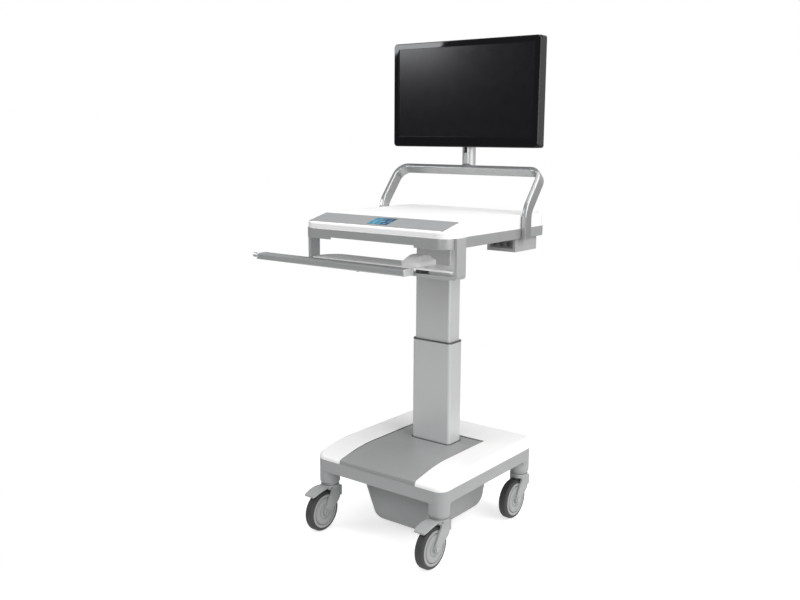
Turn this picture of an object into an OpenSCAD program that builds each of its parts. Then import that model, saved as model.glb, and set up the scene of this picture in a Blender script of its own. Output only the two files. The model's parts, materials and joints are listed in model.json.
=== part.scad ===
/* [Castors] */
// Diameter of a wheel over its tread
wheel_d = 125; // [100:1:150]
// Width of a tyre
wheel_w = 28; // [22:1:34]
// Depth of rubber on a wheel
tyre_t = 11; // [7:1:16]
// Horizontal distance from the swivel axis to the axle
trail = 40; // [30:1:48]
// Diameter of a wheel axle
axle_d = 8; // [6:1:12]
// Diameter of a swivel stem
stem_d = 12; // [10:1:16]
// Height of a swivel stem above the fork head
stem_h = 44; // [25:1:50]
// Diameter of a fork head
head_d = 57; // [48:1:60]
// Height of a fork head
head_h = 12.7; // [9:0.1:18]
// Thickness of a fork arm
arm_t = 5.5; // [4:0.5:7]
// Height of a swivel bearing
bearing_h = 9; // [6:1:14]
// Width of a brake pedal
pedal_w = 42; // [36:1:54]
// Length of a brake pedal in front of its pivot
pedal_len = 81; // [76:1:90]
// Thickness of a brake pedal's top
pedal_t = 3.2; // [2.5:0.1:5]

/* [Base] */
// Width of the base frame
base_w = 477; // [420:1:560]
// Depth of the base frame
base_d = 509; // [460:1:600]
// Distance from the column axis to the frame's rear face
base_rear = 203; // [185:1:240]
// Radius of the frame's corners and of its legs
corner_r = 31; // [28:0.5:36]
// Length of a leg below the skirt
leg_len = 37; // [30:1:50]
// Height of the frame's skirt
skirt_h = 37; // [28:1:50]
// Wall of the frame's skirt
skirt_t = 6; // [4:0.5:8]
// Thickness of the frame's deck
deck_t = 6; // [4:0.5:10]
// Wall of the base covers
cover_t = 3; // [2:0.5:4]
// Height of the white cover above the seam
cover_h = 36; // [28:1:50]
// Height of the covers' front lip
lip_h = 13; // [9:1:18]
// Distance from the covers' front edge back to the end of their slope
slope_len = 116; // [80:1:140]
// Width of the dark centre cover
lid_w = 283; // [240:1:320]
// Height of the dark centre cover above the seam
lid_h = 32; // [24:1:44]
// Distance from the column axis to the rear edge of the dark cover
lid_rear = 63; // [50:1:90]
// Distance from the column axis to the joint across the dark cover
lid_joint = 14; // [8:1:24]

/* [Tub] */
// Distance from the column axis left to the edge of the tub's floor
tub_left = 86; // [60:1:95]
// Distance from the column axis right to the edge of the tub's floor
tub_right = 126; // [90:1:130]
// Distance from the column axis forward to the edge of the tub's floor
tub_front = 212; // [170:1:216]
// Distance from the column axis back to the tub's rear wall
tub_rear = 95; // [60:1:100]
// Height of the tub's floor above the ground
tub_z = 30; // [24:1:60]
// Outward lean of the left wall from floor to mouth
flare_left = 74; // [20:1:80]
// Outward lean of the right wall from floor to mouth
flare_right = 28; // [10:1:34]
// Radius of the roll between the tub's floor and its rear wall
tub_roll = 44; // [20:1:60]
// Wall of the tub
tub_t = 3; // [2:0.5:4]

/* [Column] */
// Width of the outer column tube
outer_w = 143.8; // [120:0.2:160]
// Depth of the outer column tube
outer_d = 67.6; // [60:0.2:80]
// Height of the outer column tube
outer_h = 353; // [300:1:380]
// Width of the inner column tube
inner_w = 130.4; // [104:0.2:134]
// Depth of the inner column tube
inner_d = 58.7; // [48:0.1:60]
// Wall of the outer tube
outer_t = 3; // [2:0.5:3.5]
// Wall of the inner tube
inner_t = 4; // [3:0.5:5]
// Length of the inner tube
inner_h = 492; // [450:1:540]
// Corner radius of the outer tube
outer_r = 10; // [6:1:14]
// Corner radius of the inner tube
inner_r = 7; // [4:1:10]
// Diameter of the lift rod
lift_rod_d = 18; // [14:1:22]
// Diameter of the lift actuator's tube
actuator_d = 36; // [30:1:40]
// Distance that the column can go down from rest
lift_down = 200; // [120:5:205]
// Width of the soft gasket round the column's foot
gasket_t = 4.5; // [3:0.5:8]

/* [Work surface] */
// Width of the rim round the work surface
rim_w = 519.2; // [460:0.2:600]
// Depth of the rim
rim_d = 540.4; // [480:0.2:600]
// Distance from the column axis to the rim's rear face
rim_rear = 209.8; // [185:0.2:240]
// Height of the rim
rim_h = 29.5; // [24:0.5:40]
// Wall of the rim
rim_t = 4; // [3:0.5:6]
// Radius of the rim's corners
rim_r = 40; // [25:1:50]
// Height of the shallow cut-out under the rim's front
rim_cut_h = 6; // [3:0.5:7]
// Width of that cut-out
rim_cut_w = 300; // [200:1:340]
// Height of the white top above the rim
top_h = 39; // [32:0.5:50]
// Height of the top's front lip
top_lip = 18.5; // [12:0.5:22]
// Distance from the top's front edge to the end of its slope
top_slope = 88; // [70:1:100]
// Wall of the white top
top_t = 3; // [2:0.5:4]
// Width of the grey control strip
strip_w = 480; // [400:1:490]
// Length of the control strip along the slope
strip_len = 78; // [55:1:80]
// Thickness of the control strip
strip_t = 2; // [1.5:0.1:2.5]
// Width of the display window
display_w = 72; // [50:1:90]
// Length of the display window along the slope
display_len = 54; // [40:1:60]

/* [Handle and mast] */
// Thickness of the handle's flat bar
bar_t = 15.5; // [12:0.5:18]
// Width of the handle's flat bar
bar_w = 36; // [28:1:44]
// Distance from the column axis back to the middle of the handle's legs
handle_y = 67; // [50:1:90]
// Height of the handle's upright part
handle_up = 58; // [45:1:80]
// Radius of the handle's bend on its middle line
bend_r = 60; // [35:1:70]
// Angle that the handle leans back
lean = 39; // [30:1:42]
// Length of the leaning legs, up to the corner arcs
lean_len = 85; // [60:1:120]
// Radius of the handle's top corners on the inside
loop_r = 29; // [20:1:40]
// Diameter of the post
post_d = 42; // [36:1:46]
// Height of the post above the handle's top
post_h = 163; // [140:1:170]
// Wall of the post
post_t = 3; // [2:0.5:4]
// Length of the inner mast that stands out of the post
mast_out = 36; // [34:1:40]
// Width of the slot down the post's front
slot_w = 10; // [8:1:14]

/* [Monitor] */
// Width of the monitor
mon_w = 536; // [440:1:600]
// Height of the monitor
mon_h = 324; // [280:1:360]
// Depth of the monitor at its edges
mon_d = 36; // [30:1:44]
// Depth of the monitor in front of the mast
mon_thin = 15; // [14:1:18]
// Radius of the monitor's corners
mon_r = 8; // [4:1:14]
// Distance from the post's axis to the monitor's front face
mon_reach = 43; // [43:1:55]
// Width of the bezel at the sides
bezel_side = 19; // [12:1:26]
// Width of the bezel at the top
bezel_top = 18; // [12:1:26]
// Width of the bezel at the bottom
bezel_bottom = 32; // [20:1:40]
// Depth of the bezel frame
bezel_d = 9; // [6:1:11]
// Height of the monitor's lower edge above the handle's top
mon_gap = 54; // [46:1:80]
// Width and height of the mounting plate
vesa = 90; // [84:1:110]
// Diameter of the tilt pin
tilt_d = 8; // [6:1:10]

/* [Keyboard tray] */
// Thickness of the tray hanger's flat bar
hang_t = 8.5; // [6:0.5:12]
// Width of the hanger's flat bar
hang_w = 43; // [30:1:50]
// Distance from the column axis to the hanger's front edge
hang_front = 296; // [270:1:310]
// Height of the hanger over its legs
hang_h = 113; // [100:1:130]
// Thickness of the platform over the hanger
platform_t = 5; // [4:0.5:8]
// Depth of the platform
platform_d = 96; // [80:1:140]
// Height of the spacers between hanger and platform
spacer_h = 10; // [8:0.5:14]
// Distance between the two spacers
spacer_gap = 280; // [240:1:400]
// Length of the palm rest
palm_len = 570; // [480:1:620]
// Depth of the palm rest
palm_d = 44; // [36:1:50]
// Height of the palm rest
palm_h = 19; // [18:1:26]
// Distance that the palm rest stands to the left of the middle
palm_shift = 155; // [120:1:165]
// Thickness of a palm rest end cap
cap_t = 5; // [3:0.5:8]
// Width of the mouse
mouse_w = 62; // [54:1:68]
// Length of the mouse
mouse_len = 92; // [84:1:110]
// Height of the mouse
mouse_h = 31; // [26:1:38]

/* [Hidden] */
$fn = 64;
run = 0.05;          // radial running clearance of a shaft in its hole
gap = 0.35;          // clearance between pieces that slide or turn past each other
joint_gap = 0.8;     // visible joint between two covers
e = 0.01;            // small lap that fuses two shapes of one piece
blend_fn = 28;       // roundness of blended shells

// heights, from the ground up
head_z = wheel_d + 3;
head_top = head_z + head_h;
bearing_z = head_top + gap;
leg_z = bearing_z + bearing_h;
skirt_z = leg_z + leg_len;
seam_z = skirt_z + skirt_h;
outer_top = seam_z + outer_h;
collar_h = 5;
inner_z = outer_top - 150;
pan_t = 3;
pan_z = inner_z + inner_h - pan_t;
rim_z = pan_z - rim_cut_h;
rim_top = rim_z + rim_h;
top_z = rim_top + top_h;

// base
base_front = base_d - base_rear;
base_mid = (base_rear - base_front) / 2;
leg_x = base_w / 2 - corner_r;
leg_y = [-(base_front - corner_r), base_rear - corner_r];
castors = [[-leg_x, leg_y[0]], [leg_x, leg_y[0]], [-leg_x, leg_y[1]], [leg_x, leg_y[1]]];
hub_d = wheel_d - 2 * tyre_t;
arm_in = wheel_w / 2 + 2.6;
axle_back = max(trail, (wheel_d - head_d) / 2 + 6);    // keeps the web under the head
hub_w = wheel_w + 2;
web_t = 5;
web_in = 2.5;
front_web = 12;
rear_web = 30;
tub_mid = (tub_right - tub_left) / 2;
pedal_y = -16;
pedal_z = head_z + 5;
pedal_drop = 10;
pivot_d = 6;
boss_d = 22;
axle_head_d = 14;
axle_head_t = 2.5;
column_bolt_x = outer_w / 2 + 14;
column_bolt_y = outer_d / 4;
bolt_hole_d = 8.2;
foot_t = 8;
mouth_w = 150;
mouth_d = 150;
pack_w = 120;
pack_d = 150;
pack_h = 92;
pack_y = -70;

// column and actuator
bush_h = 18;
sleeve_h = 30;
actuator_h = outer_h - 40;
rod_z = seam_z + lift_down + 9;
motor_w = 84;
motor_d = 40;
motor_h = 46;
foot_side = 28;
foot_end = 12;
bolt_d = 8;
bolt_head_d = 13;
bolt_head_h = 6;
nut_d = 14.5;
nut_h = 7;
bracket_t = 8;
bracket_w = 300;
bracket_d = 200;

// work surface
rim_front = rim_d - rim_rear;
rim_mid = (rim_rear - rim_front) / 2;
top_in = 2.5;
slope_in = top_in + 3;
slope_angle = atan((top_h - top_lip) / (top_slope - slope_in));
slope_run = (top_slope - slope_in) / cos(slope_angle);
strip_y = (slope_run - strip_len) / 2;
display_t = 1.2;
display_x = 5;
proud = 0.6;         // how far the strip and its display stand out of the slope

// handle: the side view runs up, bends back, then leans
leg_side = rim_w / 2;
bend_y = handle_y + bend_r * (1 - cos(lean));
bend_z = rim_z + handle_up + bend_r * sin(lean);
lean_total = lean_len + loop_r + bar_t;
loop_drop = handle_up + 2 * bend_r;    // far enough to reach past the foot of the loop
bend_n = 26;                           // flats on the bend
post_y = bend_y + (lean_total - bar_t / 2) * sin(lean) + 4;
handle_top = bend_z + lean_total * cos(lean) + bar_w / 2 * sin(lean);
post_top = handle_top + post_h;
mast_d = post_d - 2 * post_t;
mast_z = handle_top + 40;
knuckle_z = post_top + mast_out;
knuckle_t = 8;
spigot_d = 20;
tilt_z = knuckle_z + knuckle_t + 12;
tilt_y = post_y - 4;
tongue_w = 26;
ear_t = 6;
mon_front = post_y - max(mon_reach, post_d / 2 + 22);   // clear of the swivel head
mon_z = handle_top + mon_gap;
mon_mid = mon_z + mon_h / 2;
channel_w = 130;
plate_t = 4;
plate_pitch = 75;
plate_hole_d = 4.4;

// tray
hang_x = rim_w / 2 + 0.4;
hang_z = rim_top - hang_h;
hang_top = hang_z + hang_t;
platform_z = hang_top + spacer_h;
platform_w = 2 * hang_x - 9;
palm_z = hang_top - 5;
palm_y = -(hang_front + 5);
palm_left = -palm_len / 2 - palm_shift;
rail_len = 200;
rail_d = 6;
rail_t = 3;
rail_y = palm_y - 11;
rail_z = hang_top + rail_t / 2;
palm_bar_h = 12;
screw_x = -60;
screw_d = 4;
screw_head_d = 11;
screw_head_h = 6;
knob_neck = 14;
knob_d = 14;
knob_len = 20;
mouse_x = 108;
mouse_y = -hang_front + 2 + mouse_len / 2;
mouse_z = platform_z + platform_t;

box_x = [150, 248];
box_y = [40, 165];
box_h = 47;
socket_d = 15;
socket_pitch = 24;

// ---------- shared shapes ----------

// rectangle with true round corners
module rounded(w, d, r) {
    square([w - 2 * r, d], center = true);
    square([w, d - 2 * r], center = true);
    for (sx = [-1, 1], sy = [-1, 1])
        translate([sx * (w / 2 - r), sy * (d / 2 - r)]) circle(r);
}

module rounded_tube(w, d, r, t, h) {
    linear_extrude(h) difference() {
        rounded(w, d, r);
        rounded(w - 2 * t, d - 2 * t, max(r - t, 1));
    }
}

// a bar along X
module x_cylinder(d, x0, x1) {
    translate([x0, 0, 0]) rotate([0, 90, 0]) cylinder(d = d, h = x1 - x0);
}

// a side outline, given as [y, z] points, drawn out from x0 to x1
module side_extrude(points, x0, x1) {
    translate([x0, 0, 0]) rotate([90, 0, 90]) linear_extrude(x1 - x0) polygon(points);
}

// thin horizontal layer of a rounded block, for hulls
module layer(w, d, r, y, z) {
    translate([0, y, z]) linear_extrude(0.1) rounded(w, d, max(r, 2), $fn = blend_fn);
}

// ---------- base ----------

module base_outline(inset = 0) {
    translate([0, base_mid]) rounded(base_w - 2 * inset, base_d - 2 * inset, corner_r - inset);
}

module tub_body(inset) {
    x0 = -tub_left + inset;
    x1 = tub_right - inset;
    mouth_w = x1 - x0 + flare_left + flare_right;
    mouth_d = tub_front + tub_rear + 14 - 2 * inset;
    edge_r = 22;
    hull() {
        translate([(x0 + x1 + flare_right - flare_left) / 2, 0])
            layer(mouth_w, mouth_d, 44 - inset, (tub_rear - tub_front) / 2, seam_z - deck_t - 0.1);
        for (x = [x0 + edge_r, x1 - edge_r])
            translate([x, -tub_front + inset + edge_r, tub_z + inset + edge_r])
                sphere(edge_r, $fn = blend_fn);
        translate([0, tub_rear - inset - tub_roll, tub_z + inset + tub_roll])
            rotate([0, 90, 0]) translate([0, 0, x0 + 10])
                cylinder(r = tub_roll, h = x1 - x0 - 20, $fn = 2 * blend_fn);
    }
}

// fillet between the skirt's lower edge and a leg, in the plane of the skirt
module web(middle, toward, r) {
    inside = 0.4 * corner_r;
    translate([middle, skirt_z]) scale([toward, 1]) difference() {
        translate([0, -r]) square([inside + r, r + 2]);
        translate([inside + r, -r]) circle(r);
    }
}

module side_webs() {
    web(leg_y[0], 1, front_web);
    web(leg_y[1], -1, rear_web);
}

module end_webs() {
    for (s = [-1, 1]) scale([s, 1]) web(leg_x, -1, front_web);
}

module base_frame() {
    color([0.60, 0.61, 0.62]) difference() {
        union() {
            translate([0, 0, skirt_z]) linear_extrude(skirt_h - deck_t + e) difference() {
                base_outline();
                base_outline(skirt_t);
            }
            translate([0, 0, seam_z - deck_t]) linear_extrude(deck_t) base_outline();
            for (c = castors)
                translate([c[0], c[1], leg_z]) cylinder(r = corner_r, h = seam_z - deck_t - leg_z + e);
            for (x = [-base_w / 2 + web_in, base_w / 2 - web_in - skirt_t])
                translate([x, 0, 0]) rotate([90, 0, 90]) linear_extrude(skirt_t) side_webs();
            for (y = [-base_front + web_in + skirt_t, base_rear - web_in])
                translate([0, y, 0]) rotate([90, 0, 0]) linear_extrude(skirt_t) end_webs();
        }
        for (c = castors)
            translate([c[0], c[1], leg_z - 1]) cylinder(d = stem_d + 2 * run, h = stem_h + 6);
        tub_mouth();
        for (sx = [-1, 1], sy = [-1, 1])
            translate([sx * column_bolt_x, sy * column_bolt_y, seam_z - deck_t - 1])
                cylinder(d = bolt_hole_d, h = deck_t + 2);
    }
}

// opening in the deck over the tub, in front of the column's foot
module tub_mouth() {
    translate([tub_mid - mouth_w / 2, -outer_d / 2 - foot_side - mouth_d, seam_z - deck_t - 1])
        cube([mouth_w, mouth_d, deck_t + 2]);
}

module storage_tub() {
    color([0.56, 0.57, 0.58]) difference() {
        tub_body(0);
        translate([0, 0, 0.2]) tub_body(tub_t);
    }
}

module power_pack() {
    color([0.16, 0.17, 0.18]) translate([tub_mid, pack_y, tub_z + tub_t + 0.6]) {
        linear_extrude(pack_h) rounded(pack_w, pack_d, 8);
        translate([0, -pack_d / 4, pack_h]) linear_extrude(8) rounded(60, 34, 4);
        translate([0, pack_d / 4, pack_h]) linear_extrude(14) difference() {
            rounded(90, 26, 6);
            rounded(70, 10, 4);
        }
    }
}

// one height of the white cover: its edges draw in towards the top
module cover_layer(inset, z, front) {
    depth = base_rear + front - 2 * inset;
    layer(base_w - 2 * inset, depth, corner_r - inset / 2, (base_rear - front) / 2, z);
}

module cover_body(t) {
    hull() {
        cover_layer(t, seam_z - (t > 0 ? 1 : 0), base_front);
        cover_layer(t, seam_z + lip_h - 3 - t, base_front);
        cover_layer(t + 4, seam_z + lip_h - t, base_front);
        cover_layer(t + 1, seam_z + cover_h - 16 - t, base_front - slope_len + 30);
        cover_layer(t + 4, seam_z + cover_h - 8 - t, base_front - slope_len + 16);
        cover_layer(t + 11, seam_z + cover_h - 2.5 - t, base_front - slope_len + 4);
        cover_layer(t + 20, seam_z + cover_h - 0.1 - t, base_front - slope_len);
    }
}

module base_cover() {
    color([0.95, 0.95, 0.94]) difference() {
        cover_body(0);
        cover_body(cover_t);
        translate([-lid_w / 2 - joint_gap, -base_front - 1, seam_z - 1])
            cube([lid_w + 2 * joint_gap, base_front + lid_rear + joint_gap + 1, cover_h + 2]);
    }
}

// side outline of the dark cover from its front edge to the rear edge
function lid_points(t, y0, y1) = [
    [y0, seam_z - (t > 0 ? 1 : 0)],
    [y0, seam_z + lip_h - 2 - t],
    [y0 + 2, seam_z + lip_h - t],
    [-base_front + slope_len, seam_z + lid_h - t],
    [y1, seam_z + lid_h - t],
    [y1, seam_z - (t > 0 ? 1 : 0)]
];

module lid_body(t) {
    side_extrude(lid_points(t, -base_front + 2 + t, lid_rear - t), -lid_w / 2 + t, lid_w / 2 - t);
}

module column_notch(extra, z, h) {
    translate([0, 0, z]) linear_extrude(h)
        rounded(outer_w + 2 * extra, outer_d + 2 * extra, outer_r + extra);
}

module lid_shell(y0, y1) {
    difference() {
        intersection() {
            difference() {
                lid_body(0);
                lid_body(cover_t);
            }
            translate([-base_w, y0, seam_z]) cube([2 * base_w, y1 - y0, cover_h]);
        }
        column_notch(gasket_t, seam_z - 1, cover_h + 2);
    }
}

module base_front_lid() {
    color([0.50, 0.51, 0.52]) lid_shell(-base_front, lid_joint - joint_gap / 2);
}

module column_surround() {
    color([0.50, 0.51, 0.52]) lid_shell(lid_joint + joint_gap / 2, lid_rear);
}

module column_gasket() {
    color([0.36, 0.37, 0.38])
        translate([0, 0, seam_z + lid_h - cover_t]) difference() {
            linear_extrude(cover_t + 2)
                rounded(outer_w + 2 * gasket_t, outer_d + 2 * gasket_t, outer_r + gasket_t);
            translate([0, 0, -1]) linear_extrude(cover_t + 4) rounded(outer_w, outer_d, outer_r);
        }
}

// ---------- lifting column ----------

module lower_column() {
    color([0.74, 0.75, 0.76]) translate([0, 0, seam_z]) {
        rounded_tube(outer_w, outer_d, outer_r, outer_t, outer_h);
        linear_extrude(foot_t) difference() {
            rounded(outer_w + 2 * foot_side, outer_d + 2 * foot_end, 12);
            rounded(outer_w - 2 * outer_t, outer_d - 2 * outer_t, outer_r - outer_t);
            for (sx = [-1, 1], sy = [-1, 1])
                translate([sx * column_bolt_x, sy * column_bolt_y]) circle(d = bolt_hole_d);
        }
    }
}

module column_collar() {
    color([0.34, 0.35, 0.36]) translate([0, 0, outer_top])
        linear_extrude(collar_h) difference() {
            rounded(outer_w + 0.8, outer_d + 0.8, outer_r + 0.4);
            rounded(inner_w + 2 * gap, inner_d + 2 * gap, inner_r + gap);
        }
}

module glide_sleeves() {
    color([0.86, 0.86, 0.84])
        for (z = [outer_top - sleeve_h, outer_top - 85])
            translate([0, 0, z]) linear_extrude(sleeve_h) difference() {
                rounded(outer_w - 2 * outer_t, outer_d - 2 * outer_t, outer_r - outer_t);
                rounded(inner_w + 2 * gap, inner_d + 2 * gap, inner_r + gap);
            }
}

module lift_actuator() {
    bore = lift_rod_d + 8;
    color([0.22, 0.23, 0.25]) translate([0, 0, seam_z]) difference() {
        union() {
            cylinder(d = actuator_d, h = actuator_h);
            linear_extrude(motor_h) rounded(motor_w, motor_d, 6);
        }
        translate([0, 0, 6]) cylinder(d = bore, h = actuator_h - 6 - bush_h);
        translate([0, 0, actuator_h - bush_h - 1]) cylinder(d = lift_rod_d + 2 * run, h = bush_h + 2);
    }
}

module column_bolts() {
    color([0.65, 0.66, 0.67])
        for (sx = [-1, 1], sy = [-1, 1])
            translate([sx * column_bolt_x, sy * column_bolt_y, seam_z - deck_t]) {
                cylinder(d = bolt_d, h = deck_t + foot_t);
                translate([0, 0, deck_t + foot_t]) cylinder(d = bolt_head_d, h = bolt_head_h);
                translate([0, 0, -nut_h]) cylinder(d = nut_d, h = nut_h, $fn = 6);
            }
}

module upper_column() {
    color([0.78, 0.79, 0.80])
        translate([0, 0, inner_z]) rounded_tube(inner_w, inner_d, inner_r, inner_t, inner_h);
}

module lift_rod() {
    color([0.82, 0.83, 0.84]) translate([0, 0, rod_z])
        cylinder(d = lift_rod_d, h = inner_z + inner_h - rod_z);
}

// ---------- work surface ----------

module rim_outline(inset = 0) {
    translate([0, rim_mid]) rounded(rim_w - 2 * inset, rim_d - 2 * inset, rim_r - inset);
}

module surface_bracket() {
    color([0.30, 0.31, 0.33]) translate([0, 0, inner_z + inner_h])
        linear_extrude(bracket_t) rounded(bracket_w, bracket_d, 12);
}

module surface_rim() {
    color([0.78, 0.79, 0.80]) translate([0, 0, rim_z]) difference() {
        linear_extrude(rim_h) difference() {
            rim_outline();
            rim_outline(rim_t);
        }
        translate([-rim_cut_w / 2, -rim_front - 1, -1]) cube([rim_cut_w, rim_t + 2, rim_cut_h + 1]);
    }
}

module surface_pan() {
    color([0.70, 0.71, 0.72]) translate([0, 0, pan_z]) linear_extrude(pan_t) difference() {
        rim_outline(rim_t);
        rounded(inner_w + 0.4, inner_d + 0.4, inner_r);
    }
}

// one height of the white top, drawn in by inset
module top_layer(inset, z, front) {
    depth = rim_rear + front - 2 * inset;
    layer(rim_w - 2 * inset, depth, rim_r - inset / 2, (rim_rear - front) / 2, z);
}

module top_body(t) {
    hull() {
        top_layer(top_in + t, rim_top - (t > 0 ? 1 : 0), rim_front);
        top_layer(top_in + t, rim_top + top_lip - 3 - t, rim_front);
        top_layer(top_in + t + 3, rim_top + top_lip - 0.1 - t, rim_front);
        top_layer(top_in + t + 1, top_z - 7 - t, rim_front - top_slope + 30);
        top_layer(top_in + t + 3, top_z - 2.5 - t, rim_front - top_slope + 12);
        top_layer(top_in + t + 8, top_z - 0.1 - t, rim_front - top_slope + top_in + t + 8);
    }
}

// frame on the slope: origin at the middle of its lower edge, +Y up the slope
module on_slope() {
    translate([0, -rim_front + slope_in, rim_top + top_lip]) rotate([slope_angle, 0, 0]) children();
}

module strip_plate(grow, t) {
    linear_extrude(t) translate([0, strip_y + strip_len / 2])
        rounded(strip_w + 2 * grow, strip_len + 2 * grow, 6);
}

module display_plate(grow, t) {
    translate([display_x, strip_y + strip_len / 2]) linear_extrude(t)
        rounded(display_w + 2 * grow, display_len + 2 * grow, 2);
}

module surface_top() {
    color([0.95, 0.95, 0.94]) difference() {
        top_body(0);
        top_body(top_t);
        on_slope() translate([0, 0, proud - strip_t]) strip_plate(0, 20);
    }
}

module control_strip() {
    color([0.66, 0.67, 0.68]) on_slope() translate([0, 0, proud - strip_t]) difference() {
        strip_plate(0, strip_t);
        translate([0, 0, strip_t - display_t]) display_plate(0, strip_t);
    }
}

module display_window() {
    color([0.10, 0.45, 0.62]) on_slope()
        translate([0, 0, proud - display_t]) display_plate(0, display_t + 0.4);
}

module power_box() {
    width = box_x[1] - box_x[0];
    color([0.80, 0.80, 0.80]) translate([box_x[0], box_y[0], pan_z - box_h]) difference() {
        cube([width, box_y[1] - box_y[0], box_h]);
        translate([10, -1, 10]) cube([width - 20, 13, box_h - 22]);
    }
}

module power_sockets() {
    width = box_x[1] - box_x[0] - 20;
    color([0.13, 0.13, 0.14]) translate([box_x[0] + 10, box_y[0] + 2, pan_z - box_h + 10]) difference() {
        cube([width, 10, box_h - 22]);
        for (i = [-1:1])
            translate([width / 2 + i * socket_pitch, -1, (box_h - 22) / 2])
                rotate([-90, 0, 0]) cylinder(d = socket_d, h = 8);
    }
}

// ---------- handle and mast ----------

// points on the side of the loop, in [y, z] round the bend's centre
function bend_point(r, a) = [-r * cos(a), r * sin(a)];
function lean_point(r) = bend_point(r, lean) + lean_total * [sin(lean), cos(lean)];
function loop_points(r_front, r_rear) = concat(
    [[-r_front, -handle_up]],
    [for (i = [0:bend_n]) bend_point(r_front, lean * i / bend_n)],
    [lean_point(r_front), lean_point(r_rear)],
    [for (i = [bend_n:-1:0]) bend_point(r_rear, lean * i / bend_n)],
    [[-r_rear, -handle_up]]
);

// the loop as it is seen square to its leaning part
module loop_face() {
    outer = leg_side + bar_t;
    difference() {
        translate([0, (lean_total - loop_drop) / 2])
            rounded(2 * outer, lean_total + loop_drop, loop_r + bar_t);
        translate([0, (lean_total - bar_t) / 2 - loop_drop])
            rounded(2 * leg_side, lean_total - bar_t + 2 * loop_drop, loop_r);
    }
}

module handle_loop() {
    wide = leg_side + bar_t + 1;
    color([0.70, 0.71, 0.72]) intersection() {
        translate([0, handle_y + bend_r, rim_z + handle_up])
            side_extrude(loop_points(bend_r + bar_w / 2, bend_r - bar_w / 2), -wide, wide);
        translate([0, bend_y, bend_z]) rotate([90 - lean, 0, 0])
            linear_extrude(2 * loop_drop, center = true) loop_face();
    }
}

module post_saddle() {
    translate([0, bend_y, bend_z]) rotate([-lean, 0, 0])
        translate([-60, -bar_w / 2 - 20, lean_len + loop_r + bar_t - 60]) cube([120, bar_w + 40, 60]);
}

module monitor_post() {
    color([0.72, 0.73, 0.74]) difference() {
        translate([0, post_y, handle_top - 40]) cylinder(d = post_d, h = post_h + 40);
        post_saddle();
        translate([0, post_y, handle_top + 6]) cylinder(d = mast_d + 2 * run, h = post_h);
        translate([-slot_w / 2, post_y - post_d, handle_top + 36])
            cube([slot_w, post_d, post_h]);
    }
}

module monitor_mast() {
    color([0.07, 0.07, 0.08]) translate([0, post_y, 0]) {
        translate([0, 0, mast_z]) cylinder(d = mast_d, h = knuckle_z - 8 - mast_z);
        translate([0, 0, knuckle_z - 8]) cylinder(d = spigot_d, h = 8 + knuckle_t - 2);
        translate([-slot_w / 2 + gap, -post_d / 2 + 0.6, mast_z + 34])
            cube([slot_w - 2 * gap, post_d / 2, post_top - mast_z - 44]);
    }
}

module swivel_head() {
    color([0.10, 0.10, 0.11]) difference() {
        union() {
            translate([0, post_y, knuckle_z + gap - 6]) cylinder(d = post_d - 2, h = knuckle_t + 6 - gap);
            translate([-tongue_w / 2, tilt_y - 9, knuckle_z + knuckle_t - e])
                cube([tongue_w, 20, tilt_z + 9 - knuckle_z - knuckle_t]);
        }
        translate([0, post_y, knuckle_z - 10])
            cylinder(d = spigot_d + 2 * run, h = 10 + knuckle_t - 2 + gap);
        translate([0, tilt_y, tilt_z]) x_cylinder(tilt_d + 2 * run, -tongue_w, tongue_w);
    }
}

module tilt_pin() {
    reach = tongue_w / 2 + gap + ear_t;
    color([0.75, 0.76, 0.77]) translate([0, tilt_y, tilt_z]) x_cylinder(tilt_d, -reach, reach);
}

module vesa_plate() {
    plate_y = mon_front + mon_thin;
    color([0.12, 0.12, 0.13]) difference() {
        union() {
            translate([-vesa / 2, plate_y, mon_mid - vesa / 2]) cube([vesa, plate_t, vesa]);
            for (s = [0, 1]) mirror([s, 0, 0]) translate([tongue_w / 2 + gap, 0, 0]) {
                translate([0, plate_y + plate_t - e, tilt_z - 9])
                    cube([ear_t, tilt_y - plate_y - plate_t, 18]);
                translate([0, tilt_y, tilt_z]) x_cylinder(18, 0, ear_t);
            }
        }
        translate([0, tilt_y, tilt_z]) x_cylinder(tilt_d, -vesa, vesa);
        for (sx = [-1, 1], sz = [-1, 1])
            translate([sx * plate_pitch / 2, plate_y - 1, mon_mid + sz * plate_pitch / 2])
                rotate([-90, 0, 0]) cylinder(d = plate_hole_d, h = plate_t + 2);
    }
}

// ---------- monitor ----------

module mon_outline(inset = 0) {
    rounded(mon_w - 2 * inset, mon_h - 2 * inset, mon_r - min(inset, mon_r - 1));
}

// upright slab of the monitor's outline between two depths
module mon_slab(inset, y0, y1) {
    translate([0, y1, mon_mid]) rotate([90, 0, 0]) linear_extrude(y1 - y0) mon_outline(inset);
}

module screen_outline(grow) {
    w = mon_w - 2 * bezel_side + 2 * grow;
    h = mon_h - bezel_top - bezel_bottom + 2 * grow;
    translate([0, (bezel_bottom - bezel_top) / 2]) square([w, h], center = true);
}

module monitor_bezel() {
    color([0.05, 0.05, 0.06]) difference() {
        mon_slab(0, mon_front, mon_front + bezel_d);
        translate([0, mon_front + bezel_d + 1, mon_mid]) rotate([90, 0, 0])
            linear_extrude(bezel_d + 2) screen_outline(0);
        translate([0, mon_front + bezel_d + 1, mon_mid]) rotate([90, 0, 0])
            linear_extrude(bezel_d + 1 - 2.5) screen_outline(6);
    }
}

module screen_panel() {
    color([0.03, 0.03, 0.035]) translate([0, mon_front + bezel_d + 1, mon_mid])
        rotate([90, 0, 0]) linear_extrude(bezel_d + 1 - 2.5) screen_outline(6);
}

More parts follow.
